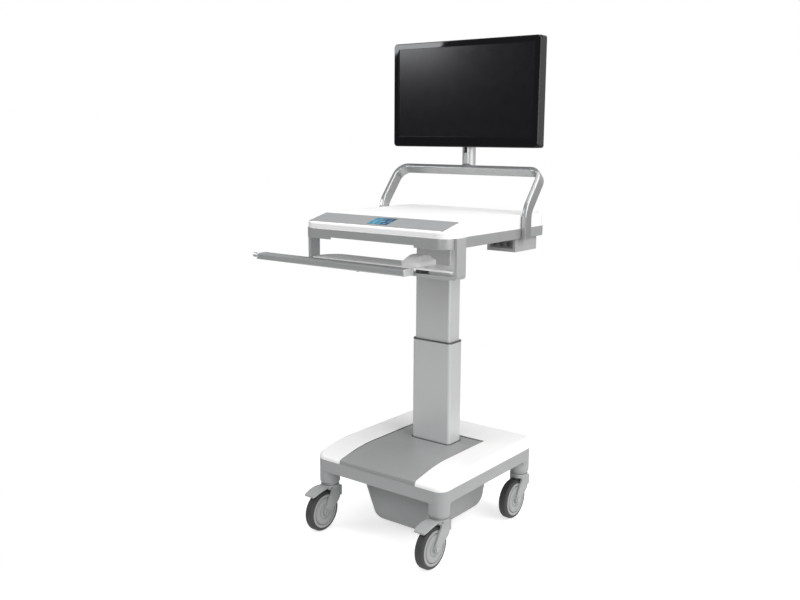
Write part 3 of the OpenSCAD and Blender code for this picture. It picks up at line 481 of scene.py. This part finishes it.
def makeDisplay(s, low, high):
    # lit window: tiles of two blues on a dark ground, brighter to the left
    material = bpy.data.materials.new("displayBlue")
    material.use_nodes = True
    tree = material.node_tree
    shader = tree.nodes["Principled BSDF"]
    place = addNode(tree, "ShaderNodeTexCoord").outputs["Object"]
    fit = addNode(tree, "ShaderNodeMapping")
    fit.inputs["Scale"].default_value = [1 / (h - l) for l, h in zip(low, high)]
    fit.inputs["Location"].default_value = [-l / (h - l) for l, h in zip(low, high)]
    link(tree, place, fit.inputs["Vector"])
    tiles = addNode(tree, "ShaderNodeTexBrick", offset=0.35, squash=0.7, squash_frequency=2)
    tiles.inputs["Color1"].default_value = s["bright"]
    tiles.inputs["Color2"].default_value = s["dark"]
    tiles.inputs["Mortar"].default_value = s["ground"]
    for label, value in s["tiles"]:
        tiles.inputs[label].default_value = value
    link(tree, fit.outputs["Vector"], tiles.inputs["Vector"])
    parts = addNode(tree, "ShaderNodeSeparateXYZ")
    link(tree, fit.outputs["Vector"], parts.inputs[0])
    leftShare = spread(tree, parts.outputs["X"], s["glareShare"], 0.0)
    colour = blendColour(tree, leftShare, tiles.outputs["Color"], s["glare"])
    link(tree, colour, shader.inputs["Base Color"])
    link(tree, colour, shader.inputs["Emission Color"])
    shader.inputs["Emission Strength"].default_value = s["glow"]
    shader.inputs["Roughness"].default_value = s["rough"]
    return material


finishes["display_blue"] = makeDisplay(displaySet, *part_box("display_window"))
slotOf = {row["node"]: row["material_slot"] for row in frame["record"]["subparts"]}
bodyOf = {name: body for body, names in frame["record"]["behaviour"]["bodies"].items() for name in names}


def dressNodes():
    # every carried-over node gets its slot's finish
    for name, obj in nodes.items():
        obj.data.materials.clear()
        obj.data.materials.append(finishes[slotOf[name]])


dressNodes()
print("finishes made:", len(finishes))


def standFor(obj, node, material=None):
    complete(obj, bodyOf[node], slotOf[node], material or finishes[slotOf[node]], node)


def plainName(node):
    words = node.split("_")
    return words[0] + "".join(word.title() for word in words[1:])


def cleanCopy(node):
    # the node's own shape as one clean mesh, for work in edit mode
    mesh = nodes[node].data.copy()
    obj = bpy.data.objects.new(plainName(node), mesh)
    bpy.context.scene.collection.objects.link(obj)
    mesh.name = obj.name
    edit(obj)
    bpy.ops.mesh.select_all(action="SELECT")
    bpy.ops.mesh.remove_doubles(threshold=0.000005)
    bpy.ops.mesh.dissolve_limited(angle_limit=math.radians(0.5))
    leave()
    return obj


def eased(node, width, steps, material):
    # sharp edges broken, as a moulding or a machined part has them
    obj = cleanCopy(node)
    easeEdges(obj, width, steps)
    smooth(obj)
    standFor(obj, node, material)


# base covers and the white top: one way of making a low moulded cover with a sloping front


def coverShell(name, low, high, s):
    shell = block(name, low, high)
    edit(shell)
    lipTop = low[2] + s["lip"]
    rise, run = high[2] - lipTop, s["slope"]
    cutPlane((0, low[1], lipTop), (0, -rise, run), use_fill=True, clear_outer=True)
    roundEdges(shell, lambda e: abs(along(e).x) > 0.9 and mid(e).z > high[2] - hair
               and mid(e).y < low[1] + run + touch, s["kink"], 8)
    if s["corner"]:
        roundEdges(shell, isUpright, s["corner"], 10)
    roundEdges(shell, isBrow, s["brow"], 6)
    removeFaces(shell, lambda f: f.normal.z < -0.9)
    leave()
    return shell


def thicken(obj, wall):
    applyModifier(obj, "SOLIDIFY", thickness=wall, offset=-1, use_even_offset=True)


baseCoverSet = {"lip": 0.014, "slope": 0.112, "kink": 0.045, "corner": 0.031, "brow": 0.0105, "wall": 0.003,
                "joint": 0.0008, "edge": 0.0007}
frontLidSet = {"lip": 0.0125, "slope": 0.112, "kink": 0.040, "corner": 0, "brow": 0.0018, "wall": 0.003,
               "edge": 0.0006, "notchDraw": 0.0012, "notchRound": 0.0135, "notchBelow": 0.01,
               "notchAbove": 0.02}


def addWhiteCover(s):
    low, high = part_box("base_cover")
    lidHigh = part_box("base_front_lid")[1]
    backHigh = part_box("column_surround")[1]
    white = coverShell("baseCoverWhite", low, high, s)
    half, rear = lidHigh.x + s["joint"], backHigh.y + s["joint"]
    edit(white)
    cutPlane((half, 0, 0), (1, 0, 0))
    cutPlane((-half, 0, 0), (1, 0, 0))
    cutPlane((0, rear, 0), (0, 1, 0))
    removeFaces(white, lambda f: abs(f.calc_center_median().x) < half and f.calc_center_median().y < rear)
    leave()
    thicken(white, s["wall"])
    easeEdges(white, s["edge"], 2)
    smooth(white)
    standFor(white, "base_cover")


def addGreyCovers(s):
    # one shell, parted at the joint into the front lid and the column's surround
    low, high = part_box("base_cover")
    lidLow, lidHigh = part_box("base_front_lid")
    backLow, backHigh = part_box("column_surround")
    gasketLow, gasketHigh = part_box("column_gasket")
    lid = coverShell("frontCoverGrey", lidLow, (lidHigh.x, backHigh.y, lidHigh.z), s)
    surround = copyOf(lid, "columnCoverGrey")
    draw = s["notchDraw"]
    for piece, side, place, node in (
            (lid, 1, lidHigh.y, "base_front_lid"), (surround, -1, backLow.y, "column_surround")):
        edit(piece)
        cutPlane((0, place, 0), (0, side, 0), clear_outer=True)
        leave()
        thicken(piece, s["wall"])
        cutter = block("notchCutter", (gasketLow.x + draw, gasketLow.y + draw, low.z - s["notchBelow"]),
                       (gasketHigh.x - draw, gasketHigh.y - draw, high.z + s["notchAbove"]))
        edit(cutter)
        roundEdges(cutter, isUpright, s["notchRound"], 8)
        leave()
        cutAway(piece, cutter)
        easeEdges(piece, s["edge"], 2)
        smooth(piece)
        standFor(piece, node)
    print("base covers made")


addWhiteCover(baseCoverSet)
addGreyCovers(frontLidSet)

workTopSet = {"lip": 0.0178, "slope": 0.0852, "kink": 0.030, "corner": 0.0375, "brow": 0.0055, "wall": 0.003,
              "recessDeep": 0.0020, "recessRound": 0.006, "playX": 0.0008, "playY": 0.0004}


def addWorkTop(s):
    low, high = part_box("surface_top")
    top = coverShell("workTopWhite", low, high, s)
    thicken(top, s["wall"])
    # recess for the control strip, lying on the slope
    stripLow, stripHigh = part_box("control_strip")
    slope = math.atan2(high.z - low.z - s["lip"], s["slope"])
    middle = (stripLow + stripHigh) / 2
    bpy.ops.object.select_all(action="DESELECT")
    bpy.ops.mesh.primitive_cube_add(size=1, location=(middle.x, middle.y, middle.z), rotation=(slope, 0, 0))
    cutter = bpy.context.object
    length = (stripHigh.y - stripLow.y) / math.cos(slope)
    cutter.scale = (stripHigh.x - stripLow.x + s["playX"], length + s["playY"], s["recessDeep"])
    applyPlace(cutter)
    edit(cutter)
    lean = Vector((0, -math.sin(slope), math.cos(slope)))
    roundEdges(cutter, lambda e: abs(along(e).dot(lean)) > 0.95, s["recessRound"], 6)
    leave()
    cutAway(top, cutter)
    smooth(top)
    standFor(top, "surface_top")
    print("work top made")


addWorkTop(workTopSet)

# tub under the base
tubSet = {"floorLeft": -0.086, "floorRight": 0.126, "floorFront": -0.212, "floorRear": 0.095, "roll": 0.046,
          "round": 0.030, "nearFront": 0.03, "wall": 0.003, "edge": 0.0006}


def addTub(s):
    low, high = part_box("storage_tub")
    tub = block("storageTub", low, high)
    edit(tub)
    shape = bmesh.from_edit_mesh(tub.data)
    for vert in shape.verts:        # the walls lean in towards the floor
        if vert.co.z < low.z + touch:
            vert.co.x = s["floorLeft"] if vert.co.x < 0 else s["floorRight"]
            vert.co.y = s["floorFront"] if vert.co.y < 0 else s["floorRear"]
    bmesh.update_edit_mesh(tub.data)
    isLow = lambda e: all(v.co.z < low.z + touch for v in e.verts)
    roundEdges(tub, lambda e: isLow(e) and mid(e).y > 0 and abs(along(e).x) > 0.9, s["roll"], 8)
    isSide = lambda f: abs(f.normal.x) > 0.6

    def isRound(e):     # the whole outline of both side walls, and the front edge of the floor
        if any(f.normal.z > 0.9 for f in e.link_faces):
            return False
        return sum(isSide(f) for f in e.link_faces) == 1 or (isLow(e) and mid(e).y < low.y + s["nearFront"])

    roundEdges(tub, isRound, s["round"], 7, clamp=False)
    removeFaces(tub, lambda f: f.normal.z > 0.9)
    leave()
    thicken(tub, s["wall"])
    easeEdges(tub, s["edge"], 2)
    smooth(tub, 40)
    standFor(tub, "storage_tub")
    print("tub made")


addTub(tubSet)

# handle: a flat bar drawn up, bent back, then round the two top corners
handleSet = {"thick": 0.0155, "wide": 0.036, "rise": 0.058, "bend": 0.060, "lean": 39, "straight": 0.085,
             "corner": 0.029, "round": 0.0042, "bendSteps": 8, "cornerSteps": 10}


def addHandle(s):
    low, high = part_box("handle_loop")
    legX, legY = high.x - s["thick"] / 2, low.y + s["wide"] / 2
    lean = math.radians(s["lean"])
    bpy.ops.object.select_all(action="DESELECT")
    bpy.ops.mesh.primitive_plane_add(size=1, location=(legX, legY, low.z))
    bar = bpy.context.object
    bar.name = bar.data.name = "handleBar"
    bar.scale = (s["thick"], s["wide"], 1)
    applyPlace(bar)
    edit(bar)
    bpy.ops.mesh.select_all(action="SELECT")
    bpy.ops.mesh.bevel(offset=s["round"], segments=4, affect="VERTICES")
    bpy.ops.mesh.select_all(action="SELECT")
    extrude((0, 0, s["rise"]))
    bendAt = (0, legY + s["bend"], low.z + s["rise"])
    bpy.ops.mesh.spin(steps=s["bendSteps"], angle=lean, center=bendAt, axis=(1, 0, 0))
    up = Vector((0, math.sin(lean), math.cos(lean)))
    extrude(up * s["straight"])
    legTop = Vector((0, legY + s["bend"] * (1 - math.cos(lean)),
                     low.z + s["rise"] + s["bend"] * math.sin(lean)))
    turnAt = legTop + up * s["straight"]
    turnAt.x = high.x - s["thick"] - s["corner"]
    turnAxis = (0, -math.cos(lean), math.sin(lean))
    bpy.ops.mesh.spin(steps=s["cornerSteps"], angle=-math.pi / 2, center=turnAt, axis=turnAxis)
    extrude((-turnAt.x, 0, 0))
    bpy.ops.mesh.delete(type="FACE")
    leave()
    applyModifier(bar, "MIRROR", use_clip=True, merge_threshold=0.0001)
    outward(bar)
    smooth(bar)
    standFor(bar, "handle_loop", handleSatin)
    print("handle made")


addHandle(handleSet)

# wheels: one tyre and one hub, then copies
wheelSet = {
    "rubber": 0.011, "shoulder": 0.0075, "sides": 96, "proud": 0.0002, "edge": 0.0003,
    # inset and rise of each step of the hub's face, from its rim to the axle
    "hubSteps": ((0.0010, 0.0005), (0.0060, 0.0), (0.0008, -0.0050), (0.0016, 0.0), (0.0008, 0.0050),
                 (0.0030, 0.0008), (0.0140, 0.0006), (0.0012, -0.0014), (0.0014, 0.0010), (0.0060, 0.0002)),
}


def wheelBlank(s, node, castor, radius, proud):
    # a plain disc where this castor's wheel is
    low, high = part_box("tyre_" + castor)
    middle = (low + high) / 2
    return rod(plainName(node + "_" + castor), radius, (low.x - proud, middle.y, middle.z),
               (high.x + proud, middle.y, middle.z), s["sides"])


def makeTyre(s, castor, middle, radius):
    tyre = wheelBlank(s, "tyre", castor, radius, 0)
    edit(tyre)
    pick(tyre, "FACE", lambda f: abs(f.normal.x) > 0.9)
    bpy.ops.mesh.inset(thickness=s["rubber"])
    bpy.ops.mesh.delete(type="FACE")
    reach = lambda v: math.hypot(v.co.y - middle.y, v.co.z - middle.z)
    inner = radius - s["rubber"] / 2
    pick(tyre, "EDGE", lambda e: all(reach(v) < inner for v in e.verts) and len(e.link_faces) == 1)
    bpy.ops.mesh.bridge_edge_loops()
    roundEdges(tyre, lambda e: all(reach(v) > inner for v in e.verts) and abs(along(e).x) < 0.1,
               s["shoulder"], 7)
    leave()
    outward(tyre)
    smooth(tyre)
    return tyre


def makeHub(s, castor, radius):
    hub = wheelBlank(s, "hub", castor, radius - s["rubber"], s["proud"])
    edit(hub)
    for side in (-1, 1):
        pick(hub, "FACE", lambda f: f.normal.x * side > 0.9 and len(f.verts) > 10)
        for inset, rise in s["hubSteps"]:
            bpy.ops.mesh.inset(thickness=inset)
            if rise:
                extrude((rise * side, 0, 0))
    leave()
    easeEdges(hub, s["edge"], 2, 50)
    smooth(hub)
    return hub


def addWheels(s):
    low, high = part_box("tyre_front_left")
    radius = (high.z - low.z) / 2
    tyre = makeTyre(s, "front_left", (low + high) / 2, radius)
    hub = makeHub(s, "front_left", radius)
    for castor in castorNames:
        for part, kind in ((tyre, "tyre_"), (hub, "hub_")):
            node = kind + castor
            shift = shiftTo("tyre_front_left", "tyre_" + castor)
            piece = part if castor == "front_left" else copyOf(part, plainName(node), shift)
            standFor(piece, node)
    print("wheels made")


addWheels(wheelSet)

# castor forks: cast arms that sweep from the head down to the hub
forkSet = {
    "armThick": 0.0055, "slack": 0.0006, "edge": 0.0016,
    # from this height, up to this height, rounding of the arms' outline
    "sweeps": ((0.000, 0.070, 0.0040), (0.075, 0.112, 0.0090), (0.112, 0.124, 0.0050)),
}


def addForks(s):
    for side, other in (("front_left", "front_right"), ("rear_left", "rear_right")):
        fork = cleanCopy("fork_" + side)
        edit(fork)
        for bottom, top, width in s["sweeps"]:
            def isOutline(e):
                length = (e.verts[0].co - e.verts[1].co).length
                return (abs(along(e).x) > 0.99 and abs(length - s["armThick"]) < s["slack"]
                        and bottom < mid(e).z < top)

            roundEdges(fork, isOutline, width, 5, clamp=False)
        leave()
        easeEdges(fork, s["edge"], 3, 50)
        smooth(fork)
        twin = copyOf(fork, plainName("fork_" + other), shiftTo("fork_" + side, "fork_" + other))
        standFor(fork, "fork_" + side)
        standFor(twin, "fork_" + other)
    print("forks made")


addForks(forkSet)

# brake pedal: a root inside the fork head, then a broad tongue that arches down to a round tip
pedalSet = {
    "root": 0.034, "thick": 0.0060, "raise": 0.0022, "edge": 0.0012,
    "pivotIn": 0.0045, "rootFront": 0.012, "rootBack": 0.002, "rootLower": 0.0002,
    "widths": (0.0385, 0.0410, 0.0420, 0.0420, 0.0420, 0.0415, 0.0400, 0.0350),
    "drops": (0.0, 0.0002, 0.0006, 0.0012, 0.0018, 0.0024, 0.0028, 0.0026),
    "pinRadius": 0.003, "pinLong": 0.0422, "pinUp": 0.0147, "pinSides": 32,
}


def addPedal(s):
    low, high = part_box("pedal_left")
    middle = (low.x + high.x) / 2
    pivotY = high.y - s["pivotIn"]
    top = high.z + s["raise"]
    steps = len(s["widths"])
    start = pivotY - s["rootFront"]
    stride = (start - low.y) / steps
    pedal = block("pedalLeft", (middle - s["root"] / 2, start, top - s["thick"]),
                  (middle + s["root"] / 2, pivotY + s["rootBack"], top - s["rootLower"]))
    edit(pedal)
    pick(pedal, "FACE", lambda f: f.normal.y < -0.9)
    width = s["root"]
    for wide, drop in zip(s["widths"], s["drops"]):
        extrude((0, -stride, -drop))
        bpy.ops.transform.resize(value=(wide / width, 1, 1))
        width = wide
    leave()
    easeEdges(pedal, s["edge"], 3, 50)
    applyModifier(pedal, "SUBSURF", levels=1, render_levels=1)
    smooth(pedal, 50)
    pinIn, pinZ = (high.x - low.x - s["pinLong"]) / 2, low.z + s["pinUp"]
    pin = rod("pedalPin", s["pinRadius"], (low.x + pinIn, pivotY, pinZ), (high.x - pinIn, pivotY, pinZ),
              s["pinSides"])
    only(pedal)
    pin.select_set(True)
    bpy.ops.object.join()
    twin = copyOf(pedal, "pedalRight", shiftTo("pedal_left", "pedal_right"))
    standFor(pedal, "pedal_left")
    standFor(twin, "pedal_right")
    print("pedals made")


addPedal(pedalSet)

# monitor front: a thin frame round a shallow recess
bezelSet = {"side": 0.019, "top": 0.018, "bottom": 0.032, "recess": 0.0030, "corner": 0.012, "front": 0.0026,
            "edge": 0.0004, "flat": 0.0001}


def addBezel(s):
    low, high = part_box("monitor_bezel")
    bezel = block("monitorBezel", low, high)
    edit(bezel)
    pick(bezel, "FACE", lambda f: f.normal.y < -0.9)
    bpy.ops.mesh.inset(thickness=s["top"])
    inner = [v for v in bmesh.from_edit_mesh(bezel.data).verts if v.select]
    for vert in inner:
        if vert.co.z < (low.z + high.z) / 2:
            vert.co.z = low.z + s["bottom"]
        vert.co.x = low.x + s["side"] if vert.co.x < 0 else high.x - s["side"]
    bmesh.update_edit_mesh(bezel.data)
    extrude((0, s["recess"], 0))
    isCorner = lambda e: abs(along(e).y) > 0.9 and abs(mid(e).x) > high.x - touch
    roundEdges(bezel, isCorner, s["corner"], 8)

    def isFrontOutline(e):
        turns = sorted(f.normal.y for f in e.link_faces)
        onFront = all(v.co.y < low.y + s["flat"] for v in e.verts)
        outside = (abs(mid(e).x) > high.x - s["corner"] - hair or mid(e).z > high.z - s["corner"]
                   or mid(e).z < low.z + s["corner"])
        return onFront and outside and turns[0] < -0.9 and turns[-1] > -0.3

    roundEdges(bezel, isFrontOutline, s["front"], 4)
    leave()
    easeEdges(bezel, s["edge"], 2)
    smooth(bezel)
    standFor(bezel, "monitor_bezel")
    print("monitor front made")


addBezel(bezelSet)

# mouse: a soft pebble with a groove between its keys and a small wheel
mouseSet = {
    "narrowX": 0.70, "narrowY": 0.86, "narrowFrom": 0.55, "endsFrom": 0.6, "flat": 0.07,
    # beyond this share of the length from the middle, lowered by this share of the height
    "ends": ((0.49, 0.34), (0.294, 0.06)),
    "grooveWide": 0.0008, "grooveFrom": 0.052, "grooveFloor": 0.012, "beyond": 0.01,
    "wheelRadius": 0.0085, "wheelWide": 0.006, "wheelFrom": 0.070, "wheelUp": 0.0165, "wheelEdge": 0.0012,
    "wheelSides": 40,
}


def addMouse(s):
    low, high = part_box("mouse")
    full, middle = high - low, (low + high) / 2
    mouse = block("mouseShell", low, high)
    edit(mouse)
    bpy.ops.mesh.select_all(action="SELECT")
    bpy.ops.mesh.subdivide(number_cuts=3)
    for share, drop in s["ends"]:
        pick(mouse, "VERT", lambda v: v.co.z > low.z + full.z * s["endsFrom"]
             and abs(v.co.y - middle.y) > full.y * share)
        bpy.ops.transform.translate(value=(0, 0, -full.z * drop))
    pick(mouse, "VERT", lambda v: v.co.z > low.z + full.z * s["narrowFrom"])
    bpy.ops.transform.resize(value=(s["narrowX"], s["narrowY"], 1), center_override=middle)
    leave()
    applyModifier(mouse, "SUBSURF", levels=3, render_levels=3)
    edit(mouse)
    cutPlane((0, 0, low.z + full.z * s["flat"]), (0, 0, 1), clear_inner=True, use_fill=True)
    leave()
    # the subdivided pebble is brought back to the node's own size
    start, end = Vector(mouse.bound_box[0]), Vector(mouse.bound_box[6])
    size = end - start
    mouse.data.transform(Matrix.Translation(-(start + end) / 2))
    mouse.data.transform(Matrix.Diagonal((full.x / size.x, full.y / size.y, full.z / size.z, 1)))
    mouse.data.transform(Matrix.Translation(middle))
    half = s["grooveWide"] / 2
    groove = block("grooveCutter", (middle.x - half, low.y + s["grooveFrom"], low.z + s["grooveFloor"]),
                   (middle.x + half, high.y + s["beyond"], high.z + s["beyond"]))
    cutAway(mouse, groove)
    smooth(mouse, 45)
    half = s["wheelWide"] / 2
    wheelY, wheelZ = low.y + s["wheelFrom"], low.z + s["wheelUp"]
    wheel = rod("mouseWheel", s["wheelRadius"], (middle.x - half, wheelY, wheelZ),
                (middle.x + half, wheelY, wheelZ), s["wheelSides"])
    easeEdges(wheel, s["wheelEdge"], 3)
    smooth(wheel)
    standFor(mouse, "mouse")
    complete(wheel, bodyOf["mouse"], "strip_grey", finishes["strip_grey"])
    print("mouse made")


addMouse(mouseSet)

# palm rest: a soft grip, rounded along its two upper edges and crowned between them
palmSet = {"front": 0.0058, "rear": 0.0035, "crown": 0.0010, "nearTop": 0.002, "skin": 0.0002, "cuts": 40,
           "fill": 0.95}


def addPalmRest(s):
    low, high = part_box("palm_rest")
    pad = block("palmPad", low, (high.x, high.y, high.z - s["crown"]))
    edit(pad)
    isTop = lambda e: abs(along(e).x) > 0.9 and mid(e).z > high.z - s["nearTop"]
    roundEdges(pad, lambda e: isTop(e) and mid(e).y < (low.y + high.y) / 2, s["front"], 6)
    roundEdges(pad, lambda e: isTop(e) and mid(e).y > high.y - touch, s["rear"], 5)
    span = high.y - low.y
    for share in (0.25, 0.5, 0.75):
        cutPlane((0, low.y + s["front"] + share * (span - s["front"] - s["rear"]), 0), (0, 1, 0))
    for i in range(1, s["cuts"]):
        cutPlane((low.x + (high.x - low.x) * i / s["cuts"], 0, 0), (1, 0, 0))
    shape = bmesh.from_edit_mesh(pad.data)
    for vert in shape.verts:        # the soft skin stands up a little along its middle
        if vert.co.z > high.z - s["crown"] - s["skin"]:
            across = (vert.co.y - low.y) / span
            vert.co.z += s["crown"] * math.sin(math.pi * across)
    bmesh.update_edit_mesh(pad.data)
    leave()
    smooth(pad, 50)
    standFor(pad, "palm_rest")
    print("palm rest made")


addPalmRest(palmSet)

# the other visible parts keep their own shape, with the edges broken
edgeWidths = {
    "base_frame": 0.0022, "column_gasket": 0.0012, "power_pack": 0.0015, "lower_column": 0.0006,
    "column_collar": 0.0008, "column_bolts": 0.0006, "swivel_bearings": 0.0008, "upper_column": 0.0006,
    "surface_rim": 0.0009, "surface_pan": 0.0005, "control_strip": 0.0003, "monitor_post": 0.0007,
    "power_box": 0.0012, "power_sockets": 0.0006, "tray_hanger": 0.0012, "tray_spacers": 0.0008,
    "keyboard_platform": 0.0014, "palm_rail": 0.0004, "palm_bar": 0.0008, "palm_end_caps": 0.0009,
    "palm_knob": 0.0015, "lock_knob": 0.0008, "monitor_mast": 0.0007, "swivel_head": 0.0012,
    "vesa_plate": 0.0008, "monitor_back": 0.0035,
    **{"axle_" + castor: 0.0005 for castor in castorNames},
}
uprightNodes = ("monitor_post", "tray_hanger", "palm_knob")


def easeAll():
    ownFinish = {**{node: upRim for node in uprightNodes}, "power_sockets": socketGrey}
    for node, width in edgeWidths.items():
        steps = 3 if width > 0.001 else 2       # a broad round needs one more facet
        eased(node, width, steps, ownFinish.get(node))
    print("edges broken on", len(edgeWidths), "parts")


easeAll()

# floor and light
stageSet = {"size": 40, "below": 0.0005, "near": 0.35, "far": 1.3, "albedo": 0.75, "glow": 0.6, "cast": 0.34,
            "rough": 0.9}
worldSet = {"brightFrom": (0.85, 0.30, 0.45), "dimEnd": -0.75, "brightEnd": 0.9, "dim": 0.14, "bright": 1.0}
lights = (      # name, place, aim, width, height, power, colour
    ("keyRight", (3.1, -0.5, 2.3), (0.0, 0.0, 0.8), 2.6, 2.6, 70, (1.0, 0.995, 0.985)),
    ("topSoft", (0.3, -0.2, 3.6), (0.0, 0.0, 0.9), 2.6, 2.6, 58, (1.0, 1.0, 1.0)),
    ("fillTray", (0.6, -1.9, 1.35), (0.1, -0.2, 0.85), 0.5, 0.4, 4, (1.0, 1.0, 1.0)),
    ("boxLeft", (-2.52, -2.42, 2.32), (0.0, 0.0, 1.3), 1.15, 1.15, 30, (0.97, 0.985, 1.0)),
)


def addStage(s):
    bpy.ops.object.select_all(action="DESELECT")
    bpy.ops.mesh.primitive_plane_add(size=s["size"], location=(0, 0, cadBox[0][2] - s["below"]))
    floor = bpy.context.object
    floor.name = "studioFloor"
    material = bpy.data.materials.new("paleFloor")
    material.use_nodes = True
    tree = material.node_tree
    shader = tree.nodes["Principled BSDF"]
    place = addNode(tree, "ShaderNodeTexCoord").outputs["Object"]
    length = addNode(tree, "ShaderNodeVectorMath", operation="LENGTH")
    link(tree, place, length.inputs[0])
    far = spread(tree, length.outputs["Value"], 0, 1, s["near"], s["far"])
    near = (s["albedo"],) * 3 + (1,)
    link(tree, blendColour(tree, far, near, (0, 0, 0, 1)), shader.inputs["Base Color"])
    glow = (s["glow"],) * 3 + (1,)
    link(tree, blendColour(tree, far, glow, (1, 1, 1, 1)), shader.inputs["Emission Color"])
    ray = addNode(tree, "ShaderNodeLightPath")      # white to the eye, dimmer as a light on the cart
    strength = spread(tree, ray.outputs["Is Camera Ray"], s["cast"], 1, 0, 1)
    link(tree, strength, shader.inputs["Emission Strength"])
    shader.inputs["Roughness"].default_value = s["rough"]
    shader.inputs["Specular IOR Level"].default_value = 0.0
    floor.data.materials.append(material)


def addWorld(s):
    # white to the camera; as light it is brighter from the right and behind, dim from the front left
    world = bpy.data.worlds.new("studioWorld")
    bpy.context.scene.world = world
    world.use_nodes = True
    tree = world.node_tree
    output = tree.nodes["World Output"]
    seen = tree.nodes["Background"]
    seen.inputs["Color"].default_value = (1, 1, 1, 1)
    cast = addNode(tree, "ShaderNodeBackground")
    direction = addNode(tree, "ShaderNodeTexCoord").outputs["Generated"]
    facing = addNode(tree, "ShaderNodeVectorMath", operation="DOT_PRODUCT")
    facing.inputs[1].default_value = Vector(s["brightFrom"]).normalized()
    link(tree, direction, facing.inputs[0])
    ramp = spread(tree, facing.outputs["Value"], s["dim"], s["bright"], s["dimEnd"], s["brightEnd"])
    link(tree, ramp, cast.inputs["Strength"])
    ray = addNode(tree, "ShaderNodeLightPath")
    mix = addNode(tree, "ShaderNodeMixShader")
    link(tree, ray.outputs["Is Camera Ray"], mix.inputs[0])
    link(tree, cast.outputs[0], mix.inputs[1])
    link(tree, seen.outputs[0], mix.inputs[2])
    link(tree, mix.outputs[0], output.inputs["Surface"])


def addLights():
    for name, place, aim, width, height, power, colour in lights:
        bpy.ops.object.light_add(type="AREA", location=place)
        lamp = bpy.context.object
        lamp.name = name
        lamp.rotation_euler = (Vector(aim) - Vector(place)).to_track_quat("-Z", "Y").to_euler()
        lamp.data.shape = "RECTANGLE"
        lamp.data.size, lamp.data.size_y = width, height
        lamp.data.energy = power
        lamp.data.color = colour
        lamp.visible_camera = False


addStage(stageSet)
addWorld(worldSet)
addLights()
bpy.context.scene.view_settings.view_transform = "Standard"
print("stage and lights set")
